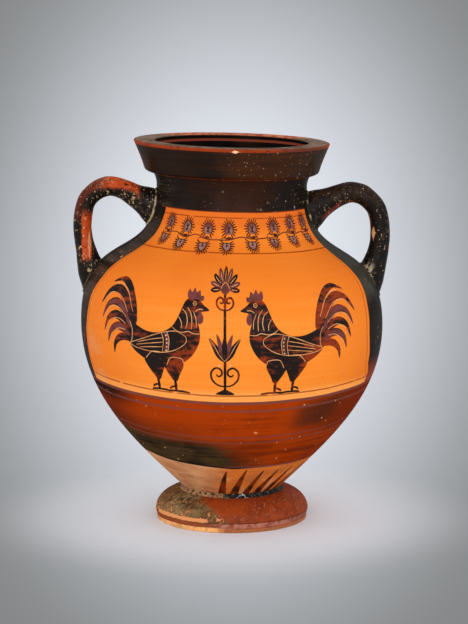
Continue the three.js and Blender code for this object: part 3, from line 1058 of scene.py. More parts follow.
MAKERS = {
    "body": body_finish,
    "neck": neck_finish,
    "mouth": mouth_finish,
    "foot": foot_finish,
    "crust": crust_finish,
    "left handle": lambda: handle_finish("left_handle_slip", True),
    "right handle": lambda: handle_finish("right_handle_slip", False),
    "collar": collar_finish,
    "inner clay": lambda: clay_finish("inner_clay", colours().inner_clay, tint(104, 64, 42), 0.62),
    "under clay": lambda: clay_finish("foot_underside_clay", tint(176, 104, 62),
                                      tint(140, 84, 52), 0.66),
    "inner slip": inner_slip_finish,
    "figure": figure_finish,
    "purple": lambda: paint_finish("added_red", colours().purple, tint(96, 50, 44)),
    "scratch": lambda: paint_finish("scratched_line", colours().incision, tint(196, 128, 80)),
    "white": lambda: paint_finish("added_white", colours().white, tint(196, 172, 138)),
    "palmette": lambda: paint_finish("palmette_paint", tint(46, 20, 16), tint(92, 34, 20)),
    "palmette heart": lambda: paint_finish("palmette_heart", tint(152, 106, 94),
                                           tint(108, 62, 56)),
    "ray": lambda: paint_finish("ray_paint", tint(126, 50, 16), tint(58, 28, 14), 0.4),
    "tendril": lambda: paint_finish("tendril_paint", tint(128, 60, 34), tint(92, 44, 30)),
}
MADE = {}


def finish_named(name):
    """A finish of this object, made when it is first asked for."""
    if name not in MADE:
        MADE[name] = MAKERS[name]()
    return MADE[name]


# ----------------------------------------------------------------- the pieces

# The foot: how its side draws in below the widest level, as (out, up), then its rounded top
FOOT_SIDE = [(-0.0024, 0.0), (-0.0018, 0.0004), (-0.0012, 0.0045), (-0.0003, 0.0080)]
FOOT_EDGE_HEIGHT, FOOT_CREST_RADIUS = 0.009, 0.048
# The hollow under it: a straight opening into a quarter round, out to the standing ring
FOOT_OPENING, FOOT_HOLLOW_WIDTH, FOOT_HOLLOW_HEIGHT, STANDING_RADIUS = 0.026, 0.0378, 0.021, 0.0644
# The fillet in its joint, as (radius, height), and the radius outside which it is ragged
FOOT_JOINT = [(0.0440, 0.0285), (0.0530, 0.0288), (0.0516, 0.0304), (0.0503, 0.0320),
              (0.0500, 0.0338), (0.0478, 0.0352), (0.0452, 0.0330)]
JOINT_SKIN = 0.0475
# The floor of the bowl: its thickness at the edge, how far it is dished, its rounded corner
FLOOR, FLOOR_DISH, FLOOR_CORNER = 0.012, 0.002, 0.001
# The mouth's lower corner, as (radius, height over its seam), and the pull of its flare
MOUTH_CORNER = [(0.0806, 0.0003), (0.0838, 0.0013), (0.0858, 0.0026), (0.0869, 0.0046)]
MOUTH_FLARE = [(0.0893, 0.013), (0.0930, 0.0215)]
# The pull of its inside: (radius, depth under the rim), (out from the neck, height over the seam)
MOUTH_INSIDE = [(0.0752, 0.012), (0.0006, 0.010)]
# The rim, from its outer edge to its inner one, as (out from that edge, down from the top)
OUTER_LIP = [(-0.0006, 0.0026), (0.0, 0.0012), (-0.0004, 0.0004), (-0.0014, 0.0)]
INNER_LIP = [(0.0014, 0.0), (0.0003, 0.0005), (0.0, 0.0014)]
RIM_MIDDLE, RIM_DISH = 0.0860, 0.0001
# A coil of clay: half its height on its face and on its back, its bulge, its depth in the wall
COIL_HALF, COIL_BACK, COIL_BULGE, COIL_SUNK = 0.0070, 0.0072, 0.0032, 0.0006
# Allowances for telling on which side of a piece a face lies
SLACK, HAIR = 0.0005, 0.0002


def turned_piece(name, outline, finishes, deeper, closed=True):
    """A turned piece with one finish outside and another where deeper(place) is true."""
    piece = turned(name, outline, closed)
    sag(piece)
    finish_piece(piece, finishes, [name])
    for face in piece.data.polygons:
        if deeper(face.center):
            face.material_index = 1


def inner_half():
    """Tells whether a place lies in the inner half of the wall."""
    outer = body_outline()

    def deeper(place):
        height = upright(place)
        return from_axis(place) < radius_on(outer, height) - wall_at(height) * 0.5
    return deeper


def build_foot():
    """The foot's ring, hollow underneath."""
    size = sizes()
    outer = [(size.foot_radius + out, up) for out, up in FOOT_SIDE] + quarter_round(
        FOOT_CREST_RADIUS, FOOT_EDGE_HEIGHT, size.foot_radius - FOOT_CREST_RADIUS,
        size.foot_height - FOOT_EDGE_HEIGHT, 40)
    hollow = [(FOOT_OPENING, size.foot_height)] + quarter_round(
        FOOT_OPENING, 0.0, FOOT_HOLLOW_WIDTH, FOOT_HOLLOW_HEIGHT, 24)[::-1]

    def under(place):
        far = from_axis(place) - FOOT_OPENING - HAIR
        return (place.z < HAIR or far < 0
                or (far < FOOT_HOLLOW_WIDTH and place.z < FOOT_HOLLOW_HEIGHT + SLACK))
    turned_piece("foot", outer + hollow + [(STANDING_RADIUS, 0.0)], ["foot", "under clay"], under)


def build_foot_joint():
    """A ragged fillet of clay and slip round the joint of the foot and the bowl."""
    piece = turned("foot_joint_fillet", FOOT_JOINT)
    sag(piece)
    for vertex in piece.data.vertices:
        if from_axis(vertex.co) > JOINT_SKIN:
            turn = math.atan2(vertex.co.y, vertex.co.x)
            x, y = math.cos(turn), math.sin(turn)
            ragged = noise.noise(Vector((x * 9, y * 9, vertex.co.z * 400)))
            fine = noise.noise(Vector((x * 31, y * 31, 2.0)))
            up = 0.0006 * fine * (1 if vertex.co.z > 0.030 else 0.3)
            push_out(vertex, 0.0009 * ragged + 0.0005 * fine, up)
    finish_piece(piece, ["crust"], ["foot_joint_fillet"], 60)


def build_bowl():
    """The lower body, with a dished floor."""
    size = sizes()
    floor = size.foot_height + FLOOR
    outer = between(body_outline(), size.foot_height, size.bowl_seam)
    inner = between(inner_outline(), floor + FLOOR_CORNER, size.bowl_seam + BEVEL_RISE)
    dish = [(inner[0][0] * share,
             floor - FLOOR_DISH * (1 - share * share) + FLOOR_CORNER * share ** 8)
            for share in (0.0, 0.2, 0.4, 0.6, 0.8, 0.92)]
    outline = [(0.0, size.foot_height)] + outer + inner[::-1] + dish[::-1]
    turned_piece("bowl", outline, ["body", "inner clay"], inner_half(), False)


def build_wall(name, low, high, high_bevel, finishes):
    """A ring of the body's wall, its seams bevelled so that they lock."""
    outer = between(body_outline(), low, high)
    inner = between(inner_outline(), low + BEVEL_RISE, high + high_bevel)
    turned_piece(name, outer + inner[::-1], finishes, inner_half())


def build_mouth():
    """The flaring mouth with its flat top."""
    size = sizes()
    seam, rim, opening = size.mouth_seam, size.rim_height, size.rim_opening
    inner_low = radius_on(inner_outline(), seam)
    corner = [(radius, seam + up) for radius, up in MOUTH_CORNER]
    lip = [(size.rim_radius + out, rim - down) for out, down in OUTER_LIP]
    flare = bezier([corner[-1], *((radius, seam + up) for radius, up in MOUTH_FLARE), lip[0]], 12)
    edge = [(opening + out, rim - down) for out, down in INNER_LIP]
    (radius, down), (out, up) = MOUTH_INSIDE
    throat = bezier([edge[-1], (radius, rim - down), (inner_low + out, seam + up),
                     (inner_low, seam)], 12)
    outline = ([(size.collar_radius, seam)] + corner + flare[1:] + lip[1:]
               + [(RIM_MIDDLE, rim - RIM_DISH)] + edge + throat[1:])

    def deeper(place):
        far = from_axis(place)
        return far < opening - 1e-5 or (place.z < seam + SLACK and far < size.collar_radius - HAIR)
    turned_piece("mouth", outline, ["mouth", "inner slip"], deeper)


def build_coils():
    """Rolls of clay pressed into the seams from inside, with the dents of fingers."""
    size = sizes()
    for name, seam, dents in (("belly_seam_coil", size.bowl_seam, 46),
                              ("neck_seam_coil", size.neck_seam, 26)):
        middle = seam + BEVEL_RISE / 2
        wall = between(inner_outline(), middle - COIL_BACK, middle + COIL_BACK)
        rise = []
        for step in range(13):
            height = middle - COIL_HALF + 2 * COIL_HALF * step / 12
            bulge = COIL_BULGE * math.sin(math.pi * step / 12) ** 0.7
            rise.append((radius_on(wall, height) - bulge, height))
        piece = turned(name, [(r + COIL_SUNK, h) for r, h in wall] + rise[::-1])
        sag(piece)
        for vertex in piece.data.vertices:
            depth = radius_on(wall, upright(vertex.co)) - from_axis(vertex.co)
            if depth > 0.0004:
                turn = math.atan2(vertex.co.y, vertex.co.x)
                press = 0.25 + 0.25 * math.sin(turn * dents + 3 * math.sin(turn * 5))
                push_out(vertex, depth * press)
        finish_piece(piece, ["inner clay"], [name])


# Each row: out and up as shares of a handle's route, its half thickness in the handle's plane
# and across it, as shares of the handle's radius.
HANDLE_ROUTE = [
    (-0.3, .71, 2.1, 1.5), (-0.06, .766, 2.1, 1.5), (0.115, .85, 1.75, 1.35),
    (0.277, .909, 1.32, 1.15), (0.44, .968, 1.12, 1.05), (0.595, 1.0, 1.08, 1.02),
    (0.744, .98, 1.07, 1.0), (0.859, .921, 1.03, 1.0), (0.946, .84, 1.0, 1.0),
    (0.989, .722, 1.0, 1.0), (1.0, .59, 1.0, 1.0), (0.976, .442, 1.05, 1.05),
    (0.927, .314, 1.22, 1.2), (0.859, .177, 1.5, 1.35), (0.783, 0.0, 1.5, 1.4),
    (0.70, -0.13, 1.4, 1.3)]
ACROSS = Vector((0.0, 1.0, 0.0))
# The left handle ends further out, the right one is a little thicker and closer
LEFT_SPREAD, RIGHT_GIRTH, RIGHT_CLOSER = 0.028, 1.06, 0.0008
# The handles end this deep in the wall, cut off by a core that reaches between two heights
ROOT_DEPTH, CORE_FOOT, CORE_TOP = 0.0035, 0.150, 0.346
# A root is sought along so many stations from an end of a handle, at so many places round it
ROOT_STATIONS, RING_STEPS = 34, 64


def handle_stations(side):
    """Middle, in-plane direction and the two half thicknesses at each place along a handle."""
    size = sizes()
    right = side > 0
    girth = size.handle_radius * (RIGHT_GIRTH if right else 1.0)
    reach = size.handle_reach - size.throat_radius - (RIGHT_CLOSER if right else 0.0)
    route = []
    for out, up, thick, broad in smooth_line(HANDLE_ROUTE, 6):
        out += 0.0 if right else LEFT_SPREAD * (1 - ease(up, 0.10, 0.44))
        route.append((Vector((side * (size.throat_radius + out * reach), 0.0,
                              size.handle_end + up * (size.handle_crown - size.handle_end))),
                      thick * girth, broad * girth))
    stations = []
    for index, (middle, thick, broad) in enumerate(route):
        way = route[min(index + 1, len(route) - 1)][0] - route[max(index - 1, 0)][0]
        way.normalize()
        stations.append((middle, Vector((-way.z, 0.0, way.x)), thick, broad))
    return stations


def build_handles():
    """The two handles, each a rod pushed along its route and cut off inside the wall."""
    inner = between(inner_outline(ROOT_DEPTH), CORE_FOOT, CORE_TOP)
    core = turned("core", [(0.0, CORE_FOOT)] + inner + [(0.0, CORE_TOP)], False)
    for side, label in ((-1, "left"), (1, "right")):
        stations = handle_stations(side)
        middle, inward, thick, broad = stations[0]
        select()
        bpy.ops.mesh.primitive_circle_add(vertices=36, radius=1.0, fill_type="NGON")
        name = "handle_" + label
        piece = named(name)
        for vertex in piece.data.vertices:
            local = vertex.co.copy()
            vertex.co = middle + inward * (local.x * thick) + ACROSS * (local.y * broad)
        open_mesh()
        for following in stations[1:]:
            bpy.ops.mesh.extrude_region_move()
            mesh = bmesh.from_edit_mesh(piece.data)
            for vertex in (v for v in mesh.verts if v.select):
                offset = vertex.co - middle
                first, second = offset.dot(inward) / thick, offset.y / broad
                vertex.co = (following[0] + following[1] * (first * following[2])
                             + ACROSS * (second * following[3]))
            bmesh.update_edit_mesh(piece.data)
            middle, inward, thick, broad = following
        close_mesh()
        for vertex in piece.data.vertices:
            push = noise.noise(vertex.co * 55) * 0.0005 + noise.noise(vertex.co * 160) * 0.0002
            vertex.co += vertex.normal * push
        apply_modifier(piece, "BOOLEAN", operation="DIFFERENCE", solver="EXACT", object=core)
        sag(piece)
        finish_piece(piece, [label + " handle"], [name], 50)
    select(core)
    bpy.ops.object.delete()


def root_ring(side, from_top):
    """Points at which a handle's skin enters the outside of the body."""
    outer = body_outline()
    stations = handle_stations(side)[::1 if from_top else -1]
    ring = []
    for index in range(RING_STEPS):
        turn = math.tau * index / RING_STEPS
        last = None
        for middle, inward, thick, broad in stations[:ROOT_STATIONS]:
            point = middle + inward * (math.cos(turn) * thick) + ACROSS * (math.sin(turn) * broad)
            gap = from_axis(point) - radius_on(outer, point.z)
            if last and gap > 0 >= last[1]:
                ring.append(last[0].lerp(point, -last[1] / (gap - last[1])))
                break
            last = (point, gap)
    return ring


def build_collars():
    """Thin rolls of clay that seal the handles' roots."""
    for side, label in ((-1, "left"), (1, "right")):
        for place, thick in (("neck", 0.0016), ("shoulder", 0.0012)):
            roll = line_object([tuple(point) for point in root_ring(side, place == "neck")], True)
            roll.data.dimensions = "3D"
            roll.data.bevel_depth = thick
            roll.data.bevel_resolution = 3
            bpy.ops.object.convert(target="MESH")
            name = "handle_%s_%s_collar" % (label, place)
            piece = named(name)
            open_mesh()
            close_mesh()
            for vertex in piece.data.vertices:
                vertex.co += vertex.normal * (noise.noise(vertex.co * 180) * 0.0006)
            sag(piece)
            finish_piece(piece, ["collar"], [name], 60)


# ------------------------------------------------------------- painted ornament

# Middles of the palmettes as (degrees, mm up), and the mm that go to one radian there
UPPER_PALMETTES = [(-47.5, 302.5), (-31.9, 300), (-16.3, 299.5), (-1.9, 299.5), (14.1, 300.5),
                   (30.3, 302), (45.6, 303.5), (60.6, 304)]
LOWER_PALMETTES = [(-48, 290), (-33.5, 287), (-18, 285.5), (-3, 286), (13, 287.5), (28, 289.5),
                   (43.5, 291), (59, 291.5)]
BAND_ACROSS = 92.0
HEART = [(0, -5.5), (4.0, -3.6), (4.6, 1.0), (2.8, 4.6), (0, 6.0), (-2.8, 4.6), (-4.6, 1.0),
         (-4.0, -3.6)]
LOBE = [(0, -4.0), (3.4, -1.0), (4.2, 2.2), (2.0, 3.6), (0, 2.2), (-2.0, 3.6), (-4.2, 2.2),
        (-3.4, -1.0)]
HEART_FOOT = [(-2.6, -7.4), (0, -5.8), (2.6, -7.4), (0, -8.4)]
LOOP = [(-6.4, 6.6), (-3.4, 7.9), (0, 7.0), (3.4, 7.9), (6.4, 6.6)]


def spiky(width, height, petals, gap, core=0.50, lobes=0.0):
    """Outline of a palmette: an oval with thin petals all round but for a gap at its foot."""
    points = []
    step = math.radians((360 - gap) / petals)
    for index in range(petals):
        middle = math.radians(-90 + gap / 2 + (360 - gap) * (index + 0.5) / petals)
        reach = 1.0 - 0.10 * ((index * 7) % 3) / 2
        for aside, share in ((-0.42, core), (-0.30, core + 0.10), (-0.20, reach - 0.10),
                             (0.0, reach), (0.20, reach - 0.10), (0.30, core + 0.10),
                             (0.42, core)):
            angle = middle + step * aside
            share *= 1 + lobes * max(0.0, -math.sin(angle)) * abs(math.cos(angle))
            points.append((width / 2 * share * math.cos(angle),
                           height / 2 * share * math.sin(angle)))
    return points


def band_shapes():
    """The double palmette chain in mm round the foot of the neck. Paint numbers: 0 black,
    1 heart, 2 tendril."""
    shapes, chain = [], []
    upper, lower = ([(math.radians(turn) * BAND_ACROSS, height) for turn, height in row]
                    for row in (UPPER_PALMETTES, LOWER_PALMETTES))
    leaf = placed(spiky(16.0, 15.8, 15, 84, lobes=0.34), turn=180)
    vein = stroke([(0, -3.6), (0, 1.2), (0, 6.4)], 0.8)
    for index, ((x, y), (low_x, low_y)) in enumerate(zip(upper, lower)):
        shapes += [(placed(spiky(19.0, 21.0, 17, 46), x, y + 2), 0, 1.0),
                   (placed(blob(HEART), x, y + 1.6, 0.88), 1, 1.5)]
        shapes += [(placed(vein, x, y + 1.0, 0.9, turn), 0, 1.9) for turn in (-34, -12, 12, 34)]
        shapes += [(placed(blob(HEART_FOOT), x, y + 1), 0, 1.9),
                   (placed(leaf, low_x, low_y), 0, 1.0),
                   (placed(blob(LOBE), low_x, low_y - 0.2, 0.86), 1, 1.5),
                   (placed(disc(0, 0, 1.0), low_x, low_y + 0.6), 0, 1.9),
                   (placed(stroke(LOOP, 1.1), low_x, low_y), 2, 1.9)]
        chain += [(x, y - 7.6), ((x + upper[min(index + 1, len(upper) - 1)][0]) / 2,
                                 low_y + 8.6 if index % 2 else low_y + 6.2)]
    first = (chain[0][0] - 9, chain[0][1] - 1.5)
    last = (chain[-2][0] + 8, chain[-2][1] + 2)
    shapes.append((stroke([first] + chain[:-1] + [last], 1.0, 0.8), 2, 1.5))
    return shapes


def build_palmettes():
    """The palmette chain of the front, and the same at the back."""
    middle = sum(turn for turn, height in UPPER_PALMETTES) / len(UPPER_PALMETTES)
    for name, azimuth in (("palmette_band_front", 0), ("palmette_band_back", 180 - middle)):
        painted(name, band_shapes(), on_body(azimuth, BAND_ACROSS),
                ["palmette", "palmette heart", "tendril"], step=0.004)


# A rooster that faces right and stands on the zero line, in mm.
ROOSTER_BODY = [
    (50, 90.5), (43.5, 95.5), (40, 99), (35, 102.5), (28, 102.5), (22.5, 98), (19, 90), (15, 80),
    (9, 71), (0, 65), (-10, 62.5), (-22, 63), (-34, 67), (-44, 73), (-50, 70), (-50, 60),
    (-46, 50), (-38, 41), (-28, 35), (-18, 31), (-6, 28.5), (8, 29), (20, 33), (30, 40), (37, 50),
    (40.5, 60), (40, 70), (38, 78), (38.5, 84), (42, 88.5)]
ROOSTER_THIGHS = [
    [(-24, 34), (-19, 24), (-13, 16.5), (-10, 13), (-6, 13.5), (-3, 20), (1, 30), (0, 38),
     (-12, 42)],
    [(-2, 34), (2, 24), (7, 16.5), (10, 13), (14, 13.5), (17, 20), (22, 30), (20, 38), (8, 42)]]
ROOSTER_SHANKS = [[(-9.5, 15), (-9, 8), (-9.5, 1)], [(11, 15), (11.5, 8), (11, 1)]]
ROOSTER_TOES = [
    [(-11, 1.6), (-3, 1.9), (6, 0.9)], [(-8, 1.8), (-14, 1.6), (-19, 0.9)],
    [(9.5, 1.6), (18, 1.9), (27, 0.9)], [(12, 1.8), (6, 1.6), (1, 0.9)],
    [(-9, 7), (-14, 6), (-17, 3.6)], [(11.5, 7), (7, 6), (3.5, 3.6)]]
ROOSTER_TAIL = [
    ([(-40, 66), (-50, 86), (-66, 98), (-84, 96), (-96, 80)], 9.0),
    ([(-42, 63), (-54, 79), (-68, 86), (-82, 81), (-90, 66)], 8.0),
    ([(-43, 59), (-56, 70), (-68, 73), (-79, 67), (-85, 53)], 8.0),
    ([(-43, 55), (-55, 61), (-65, 61), (-74, 54), (-78, 42)], 7.5),
    ([(-42, 51), (-52, 52), (-60, 49), (-66, 42), (-68, 32)], 7.0),
    ([(-36, 68), (-42, 88), (-54, 103), (-70, 109), (-86, 104)], 7.5)]
ROOSTER_COMB = [
    (26, 101), (24, 106), (25.5, 110.5), (29, 107.5), (31.5, 112), (34.5, 107.5), (38, 110),
    (39.5, 104.5), (43, 104.5), (42, 99.5), (35, 101)]
ROOSTER_WATTLE = [(40, 88.5), (43.5, 84), (43, 78), (39.5, 76), (37.5, 80.5), (38, 86)]
WING_BAR = [(1.8, 63.6), (4.2, 55.5), (2.6, 43.4)]
ROOSTER_SCRATCHES = [
    [(9, 71.5), (14, 67.5), (21, 66), (28, 67.5), (34, 65.5), (40.5, 66)],
    [(25, 62), (14, 66.5), (0, 64), (-14, 59), (-28, 53), (-44, 47)],
    [(-44, 47), (-34, 43.5), (-18, 42), (-2, 42.5), (12, 46), (22, 52), (26, 57), (25, 62)],
    [(4, 64.6), (6.5, 56), (5, 43.6)], [(-2.5, 63.3), (0, 55), (-1.5, 42.6)],
    [(-1, 58), (-16, 54.5), (-32, 49.5)], [(0, 53.5), (-16, 50.5), (-34, 46.6)],
    [(-0.5, 48.5), (-16, 46.6), (-30, 44.4)], [(-22, 34), (-14, 42), (-2, 42.5)],
    [(3, 29), (8, 38), (20, 38), (22, 34)], [(20, 90), (24.5, 86), (26.5, 78), (25, 70)],
    [(26, 92), (30, 86), (31.5, 78), (31, 70)], [(33, 88), (36, 80), (36.5, 72)],
    [(16.5, 82), (20, 76), (20, 70)], [(43, 91.2), (38.5, 91), (34.5, 88.5)],
    [(-44, 70), (-40, 62), (-40, 52), (-43, 45)], [(-48, 78), (-62, 92), (-80, 94), (-92, 83)],
    [(-50, 73), (-64, 81), (-78, 79), (-87, 68)], [(-50, 66), (-63, 70), (-75, 65), (-82, 55)],
    [(-50, 59.5), (-60, 59.5), (-69, 54), (-75, 45)],
    [(-41, 80), (-53, 98), (-68, 104.5), (-82, 102.5)]]
ROOSTER_SCALE, ROOSTER_ASIDE = 0.9, 60
SCROLL = [(0, 0), (7, 1.5), (12.5, 7), (13, 14), (8.5, 18.5), (3.5, 16.5), (3, 12), (6, 10.2),
          (8.2, 12)]
# The figures stand on this level, in mm, and use these paints by number
GROUND = 150.6
FIGURE_PAINTS = ["figure", "purple", "scratch", "white"]
BLACK, PURPLE, SCRATCHED, WHITE = range(4)


def rooster_shapes():
    """A rooster with scratched feathers, purple comb and wattle, and a dotted wing bar."""
    shapes = [(feather(line, width), BLACK, 1.0 + 0.05 * index)
              for index, (line, width) in enumerate(ROOSTER_TAIL)]
    shapes.append((blob(ROOSTER_BODY), BLACK, 1.35))
    shapes += [(blob(thigh), BLACK, 1.5) for thigh in ROOSTER_THIGHS]
    shapes += [(stroke(shank, 3.0, 0.9), BLACK, 1.2) for shank in ROOSTER_SHANKS]
    shapes += [(stroke(toe, 2.2, 0.5), BLACK, 1.3) for toe in ROOSTER_TOES]
    shapes += [(blob(part, 3), PURPLE, 1.8) for part in (ROOSTER_COMB, ROOSTER_WATTLE)]
    shapes += [(feather(ROOSTER_TAIL[index][0], 4.8), PURPLE, 1.8) for index in (1, 3)]
    shapes.append((stroke(WING_BAR, 3.8, 1.0), PURPLE, 1.8))
    shapes += [(stroke(line, ornament().scratch, 0.6), SCRATCHED, 2.2)
               for line in ROOSTER_SCRATCHES]
    shapes += [(disc(3.0 + 1.0 * math.sin(k * 0.8), 61 - 4 * k, 0.8, 8), WHITE, 2.4)
               for k in range(5)]
    shapes += [(disc(33.5, 96.5, 2.3), SCRATCHED, 2.0), (disc(33.5, 96.5, 1.5), BLACK, 2.3),
               (disc(33.5, 96.5, 0.6, 8), SCRATCHED, 2.6)]
    return shapes


def fan(y, reach, petals, spread):
    """A palmette of full petals round a heart, black and purple by turns."""
    shapes = []
    for index in range(petals):
        angle = -spread / 2 + spread * index / (petals - 1)
        size = reach * (1 - 0.20 * (abs(angle) / (spread / 2)) ** 2)
        leaf = feather([(0, reach * 0.20), (0, size * 0.6), (0, size)], reach * 0.22, 0.62)
        vein = stroke([(0, reach * 0.36), (0, size * 0.62), (0, size * 0.84)], 0.6, 0.5)
        shapes += [(placed(leaf, 0, y, 1.0, angle), index % 2, 1.0 + 0.03 * index),
                   (placed(vein, 0, y, 1.0, angle), SCRATCHED, 2.0)]
    arch = stroke([(-reach * 0.26, 0), (0, reach * 0.30), (reach * 0.26, 0)], 0.8)
    return shapes + [(placed(disc(0, 0, reach * 0.24, 20), 0, y), PURPLE, 1.6),
                     (placed(arch, 0, y), SCRATCHED, 2.2)]


def tree_shapes():
    """An upright ornament of scrolls, a lotus and a palmette, about 118 mm tall."""
    shapes = [(stroke([(0, 1), (0.3, 40), (0, 98)], 2.6, 0.9), BLACK, 1.1),
              (blob([(-9, 0.8), (-4, 4.5), (0, 6), (4, 4.5), (9, 0.8)]), BLACK, 1.2)]
    for flip in (1, -1):
        for height, scale in ((9, 1.0), (82, 0.62)):
            scroll = placed(mirrored(SCROLL, flip), 0, height, scale)
            shapes.append((stroke(scroll, 1.9, 0.6), BLACK, 1.3))
        outer = mirrored([(0, 34), (5, 40), (9.5, 48), (15, 56)], flip)
        inner = mirrored([(0, 36), (3, 44), (5, 52), (7.5, 60)], flip)
        shapes += [(feather(outer, 5.4, 0.45), BLACK, 1.4),
                   (stroke(outer, 0.6, 0.5), SCRATCHED, 2.0),
                   (feather(inner, 4.0, 0.45), PURPLE, 1.5)]
    shapes.append((feather([(0, 34), (0, 46), (0, 58)], 4.6, 0.5), BLACK, 1.7))
    shapes += fan(101, 19, 9, 190)
    shapes += [(disc(flip * 5.5, 30, 0.9, 8), WHITE, 1.6) for flip in (1, -1)]
    return shapes


def standing(middle):
    """Places a drawing with its foot on the ground line of the panel at an azimuth."""
    panel = sizes().belly_radius / MM
    place = on_body(middle, panel)

    def stand(x, y, lift):
        rise = GROUND_RISE * math.sin((x / panel) + math.radians(middle)) ** 2
        return place(x, y + GROUND + rise, lift)
    return stand


def build_front_figures():
    """Two roosters that face each other across a tree."""
    stand = standing(-2.5)
    rooster = rooster_shapes()
    facing_left = [(mirrored(line), paint, layer) for line, paint, layer in rooster]
    for name, shapes in (
            ("rooster_left", all_placed(rooster, -ROOSTER_ASIDE, 0, ROOSTER_SCALE)),
            ("rooster_right", all_placed(facing_left, ROOSTER_ASIDE, 0, ROOSTER_SCALE)),
            ("panel_tree", tree_shapes())):
        painted(name, shapes, stand, FIGURE_PAINTS)


def build_back_ornament():
    """Four palmettes and four lotus buds round a knot of scrolls, between two trees."""
    middle = 212
    shapes = [(disc(0, middle, 7, 24), PURPLE, 1.2), (disc(0, middle, 3.4, 18), BLACK, 1.5)]
    for turn in (0, 90, 180, 270):
        shapes += all_placed(fan(30, 24, 9, 200), 0, middle, 1.0, turn)
        for flip in (1, -1):
            scroll = [(flip * (x * 0.95 + 1.5), y * 0.95 + 8) for x, y in SCROLL]
            leaf = feather(mirrored([(1.5, 12), (5, 26), (9, 40)], flip), 4.6, 0.5)
            shapes += [(placed(stroke(scroll, 1.8, 0.6), 0, middle, 1.0, turn), BLACK, 1.4),
                       (placed(leaf, 0, middle, 1.0, turn + 45), BLACK, 1.3)]
        bud = feather([(0, 12), (0, 28), (0, 46)], 6.0, 0.5)
        shapes.append((placed(bud, 0, middle, 1.0, turn + 45), PURPLE, 1.6))
    painted("back_ornament", shapes, on_body(180, sizes().belly_radius / MM), FIGURE_PAINTS)
    for name, side in (("back_tree_left", 106), ("back_tree_right", -106)):
        painted(name, all_placed(tree_shapes(), side, 0, 0.84), standing(180), FIGURE_PAINTS)


# The rays: the azimuth of the first, the azimuths between which they are worn away, how far a
# tip leans, and the levels of foot, middle and tip in mm
FIRST_RAY, WORN_FROM, WORN_TO, RAY_LEAN = -11.8, -95, -20, 8.0
RAY_FOOT, RAY_MIDDLE, RAY_TIP, RAY_ACROSS = 31.2, 46, 63, 56.0


def build_rays():
    """Thin rays round the base, worn away on the left of the front."""
    count, shapes = ornament().ray_count, []
    for index in range(count):
        turn = FIRST_RAY + 360 / count * index
        turn -= 360 if turn > 180 else 0
        if WORN_FROM < turn < WORN_TO:
            continue
        x = math.radians(turn) * RAY_ACROSS
        tip = x + math.radians(RAY_LEAN + 0.9 * math.sin(index * 1.3)) * RAY_ACROSS
        wide = 4.7 + 0.4 * math.sin(index * 2.3)
        top = RAY_TIP + 1.6 * math.sin(index * 1.7)
        left, right = (x - wide * 1.1 + tip) / 2, (x + wide * 1.1 + tip) / 2
        shapes.append(([(x - wide, RAY_FOOT), (x + wide, RAY_FOOT), (right, RAY_MIDDLE),
                        (tip + 0.5, top), (tip - 0.5, top), (left, RAY_MIDDLE)], 0, 1.0))
    painted("base_rays", shapes, on_body(0, RAY_ACROSS), ["ray"], 0.004)


# ------------------------------------------------------------------- the stage

FLOOR_REACH = 6.0
ROOM_LIGHT = 0.95
# Soft round lamps: place, height that they are aimed at, breadth and power
LAMPS = [((-0.9, -3.0, 1.0), 0.20, 1.8, 15.0), ((0.9, -3.0, 1.0), 0.20, 1.8, 15.0),
         ((2.6, -0.9, 1.1), 0.22, 2.0, 7.0), ((-2.6, -0.9, 1.1), 0.22, 2.0, 7.0)]
# The camera looks down by 378 mm over the 2400 mm to the amphora's axis
CAMERA_PLACE, CAMERA_DROP = (0.0022, -2.4, 0.5864), 0.378
CAMERA_LENS, CAMERA_SENSOR = 140.17, 36.0


def floor_finish():
    """Pale floor round the amphora, painted lighter near it as a pool of light. Further out the eye
    sees the room's backdrop.
    """
    finish = Finish("pale_floor")
    out = finish.from_axis()
    # painted light: the floor is lighter near the amphora
    base = finish.mix(out.above(0.06, 0.30), colours().stage, colours().stage_edge)
    grain = finish.noise(240.0, 3.0)
    fade = out.above(0.03, 0.31)
    clear = fade * fade * (3 - fade * 2) * finish.seen_by("Camera")
    return finish.surface(base, 0.75 + grain * 0.1, grain, 0.05, 0.0004, clear=clear)


def room():
    """Soft even light from all sides, and the pale backdrop that the eye sees, painted brightest
    round the amphora, darker further out and pale again far off.
    """
    finish = Finish("soft_room", world=True)
    up = finish.z + 0.1452
    spread = (finish.x * finish.x + up * up * 0.587).root()
    # painted light: brightest towards the amphora, darker around it, pale again far off
    seen = finish.coats(tint(234, 238, 246), (spread.above(0.014, 0.140), tint(134, 136, 137)),
                        (spread.above(0.19, 0.50), tint(200, 202, 206)))
    light = finish.add("ShaderNodeBackground", {}, {0: (0.98, 0.99, 1.0), 1: ROOM_LIGHT})
    backdrop = finish.add("ShaderNodeBackground", {}, {0: seen, 1: 1.0})
    both = finish.add("ShaderNodeMixShader", {}, {
        0: finish.seen_by("Camera", "Glossy", "Transmission"), 1: light.outputs[0],
        2: backdrop.outputs[0]})
    finish.add("ShaderNodeOutputWorld", {}, {0: both.outputs[0]})
    return finish.material


